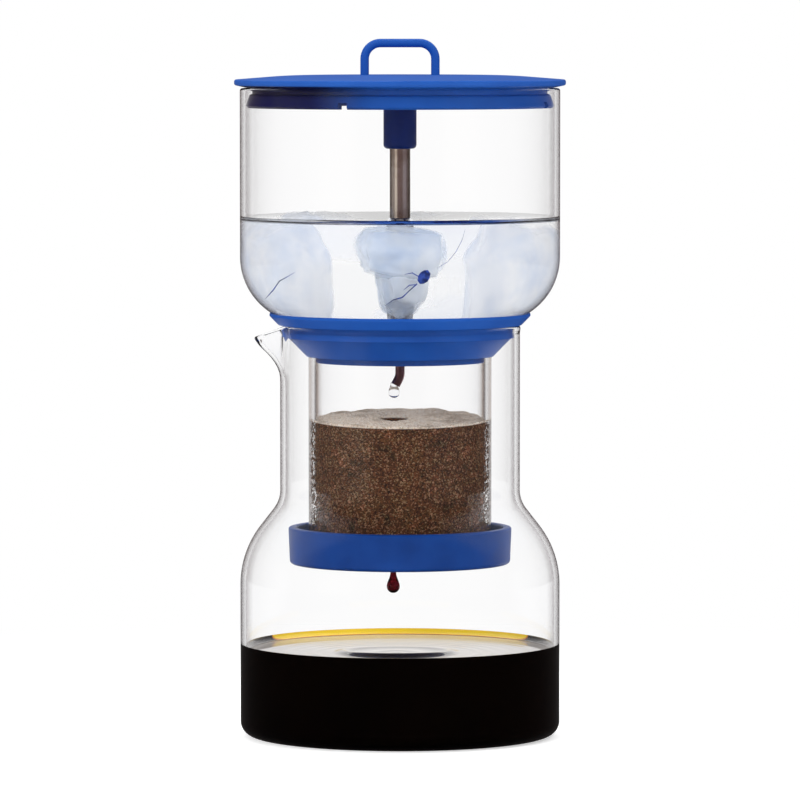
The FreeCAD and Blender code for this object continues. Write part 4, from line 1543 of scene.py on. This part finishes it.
@dataclass
class Studio:
    """Camera, lamps, floor and surroundings. Lengths are in metres and angles in degrees."""

    focal_pixels: float = 6321.0
    frame_pixels: float = 800.0
    distance: float = 2.43
    elevation: float = 3.45
    aim_height: float = 0.12924
    sensor: float = 36.0
    lamps: tuple[tuple[str, Point, float, float], ...] = (
        ("key_lamp", (-0.9, -1.1, 1.3), 0.9, 14.0), ("fill_lamp", (1.3, -0.9, 0.7), 0.8, 6.0),
        ("top_lamp", (0.1, 0.5, 1.6), 0.8, 9.0))
    lamp_aim: Point = (0.0, 0.0, 0.13)
    floor_radius: float = 1.2
    floor_colour: Colour = (0.9, 0.9, 0.9)
    floor_lift: float = 0.42
    floor_fade: Span = (0.12, 0.45)
    floor_rear: Span = (0.03, 0.12)
    floor_drop: float = 0.0003
    floor_mirrored: Colour = (0.05, 0.045, 0.045)
    sky_mirrored: Colour = (0.80, 0.86, 0.95)
    ceiling_mirrored: Colour = (0.035, 0.032, 0.04)
    ambient: float = 0.62
    panel_top: Span = (14.0, 45.0)
    panel_end: Span = (10.0, 32.0)
    panels: tuple[tuple[float, Colour], ...] = (
        (-180.0, (0.10, 0.08, 0.07)), (-112.0, (0.10, 0.07, 0.06)), (-98.0, (0.36, 0.31, 0.28)),
        (-66.0, (0.36, 0.31, 0.28)), (-54.0, (0.90, 0.80, 0.70)), (-40.0, (0.90, 0.80, 0.70)),
        (-26.0, (0.20, 0.13, 0.12)), (24.0, (0.18, 0.12, 0.11)), (40.0, (0.34, 0.29, 0.31)),
        (64.0, (0.32, 0.27, 0.29)), (84.0, (0.16, 0.12, 0.12)), (104.0, (0.08, 0.06, 0.05)),
        (180.0, (0.08, 0.06, 0.06)))
    opening: Span = (144.0, 154.0)
    rear_span: Span = (0.28, 0.04)

    def camera(self) -> None:
        """Set the camera in front, a little above the brewer."""
        lens = bpy.data.cameras.new("studio_camera")
        lens.sensor_width = self.sensor
        lens.lens = self.focal_pixels / self.frame_pixels * self.sensor
        lens.clip_end = 50.0
        view = bpy.data.objects.new("studio_camera", lens)
        bpy.context.scene.collection.objects.link(view)
        rise = math.radians(self.elevation)
        back, up = self.distance * math.cos(rise), self.distance * math.sin(rise)
        view.location = (0.0, -back, self.aim_height + up)
        view.rotation_euler = (math.pi / 2 - rise, 0.0, 0.0)
        bpy.context.scene.camera = view

    def lamp(self, name: str, place: Point, size: float, power: float) -> None:
        """Add a square soft box that faces the brewer and shows in no mirror.

        Args:
            name: the lamp's name.
            place: where it stands.
            size: the length of its sides.
            power: its power in watts.
        """
        data = bpy.data.lights.new(name, "AREA")
        data.size = size
        data.energy = power
        lamp = bpy.data.objects.new(name, data)
        bpy.context.scene.collection.objects.link(lamp)
        lamp.location = place
        lamp.rotation_euler = (Vector(self.lamp_aim) - Vector(place)).to_track_quat("-Z", "Y").to_euler()
        lamp.visible_glossy = False
        lamp.visible_transmission = False

    def floor(self) -> None:
        """A pale floor that fades into the white round it and keeps the shadow under the brewer."""
        sheet = bmesh.new()
        bmesh.ops.create_circle(sheet, cap_ends=True, radius=self.floor_radius, segments=96)
        ground = shape_object("floor", sheet)
        shader = Shader("floor_finish", Base_Color=rgba(self.floor_colour), Roughness=0.9,
                        Specular_IOR_Level=0.0)
        matte = shader.bsdf.outputs[0]
        white = shader.add("ShaderNodeEmission").outputs[0]
        lift = shader.add("ShaderNodeEmission", {"Strength": self.floor_lift}).outputs[0]
        lit = shader.add("ShaderNodeAddShader", {0: matte, 1: lift}).outputs[0]
        out = shader.vector("LENGTH", shader.place).outputs["Value"]
        seen = shader.blend(shader.ranged(out, *self.floor_fade, soft=True), lit, white)
        rear = shader.ranged(shader.axes(shader.place)["Y"], *self.floor_rear)
        tone = shader.ramp(shader.behind_glass(rear), [(0.0, self.floor_mirrored), (1.0, WHITE)])
        mirrored = shader.add("ShaderNodeEmission", {"Color": tone}).outputs[0]
        shader.show(shader.by_path(seen, mirrored, matte))
        ground.data.materials.append(shader.material)
        ground.location.z = -self.floor_drop

    def surroundings(self) -> None:
        """White for the eye; mirrors show upright panels, a dark ceiling in front and a pale sky behind."""
        world = bpy.data.worlds.new("studio_world")
        bpy.context.scene.world = world
        world.use_nodes = True
        tree = Tree(world.node_tree)
        toward = tree.axes(tree.add("ShaderNodeTexCoord").outputs["Generated"])
        front = tree.compute("MULTIPLY", toward["Y"], -1.0)
        turn = tree.compute("ARCTAN2", toward["X"], front)
        stops = [((degrees + 180.0) / 360.0, colour) for degrees, colour in self.panels]
        panels = tree.ramp(tree.ranged(turn, -math.pi, math.pi), stops, "EASE")
        above, ceiling = (
            tree.ranged(toward["Z"], *(math.sin(math.radians(rise)) for rise in span), soft=True)
            for span in (self.panel_top, self.panel_end))
        upper = tree.mix(ceiling, panels, rgba(self.ceiling_mirrored))
        rear = tree.ranged(front, *self.rear_span, soft=True)
        mirrored = tree.mix(tree.product(above, rear), upper, rgba(self.sky_mirrored))
        aside = tree.compute("ABSOLUTE", turn)
        behind = tree.ranged(aside, *(math.radians(angle) for angle in self.opening))
        through = tree.mix(tree.behind_glass(behind), mirrored, rgba(WHITE))
        plain, gloss, soft = (
            tree.add("ShaderNodeBackground", {"Color": colour, "Strength": strength}).outputs[0]
            for colour, strength in ((rgba(WHITE), 1.0), (through, 1.0), (rgba(WHITE), self.ambient)))
        tree.add("ShaderNodeOutputWorld", {"Surface": tree.by_path(plain, gloss, soft)})

    def build(self) -> None:
        """Set up the whole studio."""
        self.camera()
        for lamp in self.lamps:
            self.lamp(*lamp)
        self.floor()
        self.surroundings()
        bpy.context.scene.view_settings.view_transform = "Standard"


# --- whole scene ---

def main() -> None:
    """Build the studio, the brewer and what it holds."""
    Studio().build()
    glass = GlassFinish().material()
    # The tube's edges get painted shade in brown, a painted reflection of the grounds inside it.
    tube_glass = GlassFinish("tube_glass_finish", shade=(0.22, 0.16, 0.13), edge_start=0.60, shade_at=0.80)
    blue = SiliconeFinish("blue_silicone_finish", (0.008, 0.082, 0.405), (0.010, 0.094, 0.44)).material()
    dark_blue = SiliconeFinish("dark_blue_finish", (0.002, 0.017, 0.110), (0.003, 0.024, 0.160)).material()
    # The dish's silicone is the seal's blue made darker: painted shade, as the dish is lit less than the
    # collar.
    painted_shade_blue = SiliconeFinish("painted_shade_silicone_finish", (0.002, 0.040, 0.225), (0.004, 0.054, 0.29))
    lid_blue = LidFinish("lid_silicone_finish", (0.011, 0.086, 0.405), (0.013, 0.098, 0.44))
    steel = SteelFinish("steel_finish").material()
    stained = SteelFinish("stained_steel_finish", (0.30, 0.18, 0.20), (0.11, 0.045, 0.055), 0.3).material()
    water = WaterFinish().material()

    carafe, chamber, tower = Carafe(), Chamber(), Tower()
    carafe.build(glass)
    Brew().build(carafe, BrewFinish().material(), BrewSurfaceFinish().material())
    chamber.build(tube_glass.material(), blue, painted_shade_blue.material(), steel)
    Grounds().build(chamber, GroundsFinish().material(), GroundsFinish("loose_grain_finish").material())
    tower.build(glass)
    IcedWater().build(tower, water)
    clear_ice = IceFinish("clear_ice_finish", milky=(0.90, 0.92, 0.97), transmission=0.96, rough=0.3,
                          bend=1.01, crack_start=0.95)
    milky_ice = IceFinish("milky_ice_finish", clear=(0.90, 0.94, 0.99), milky=(0.66, 0.76, 0.92),
                          transmission=0.30, crack_start=0.95)
    for lumps, finish in ((ICE, IceFinish("ice_finish")), (MILKY_ICE, milky_ice), (CLEAR_ICE, clear_ice)):
        ice = finish.material()
        for lump in lumps:
            lump.build(tower, ice)
    crack = CrackFinish().material()
    for vein in CRACKS:
        vein.build(crack)
    Valve().build(steel, stained, blue, dark_blue)
    Lid().build(lid_blue.material())
    Drop("water_drop", (-2.3, 0.0, 135.9), 5.8, 2.2, 1.3).build(Body.TOWER, water)
    Drop("coffee_drop", (-2.6, 0.0, 63.3), 8.5, 2.55, 1.1).build(Body.BASE, DropFinish().material())


if __name__ == "__main__":
    main()
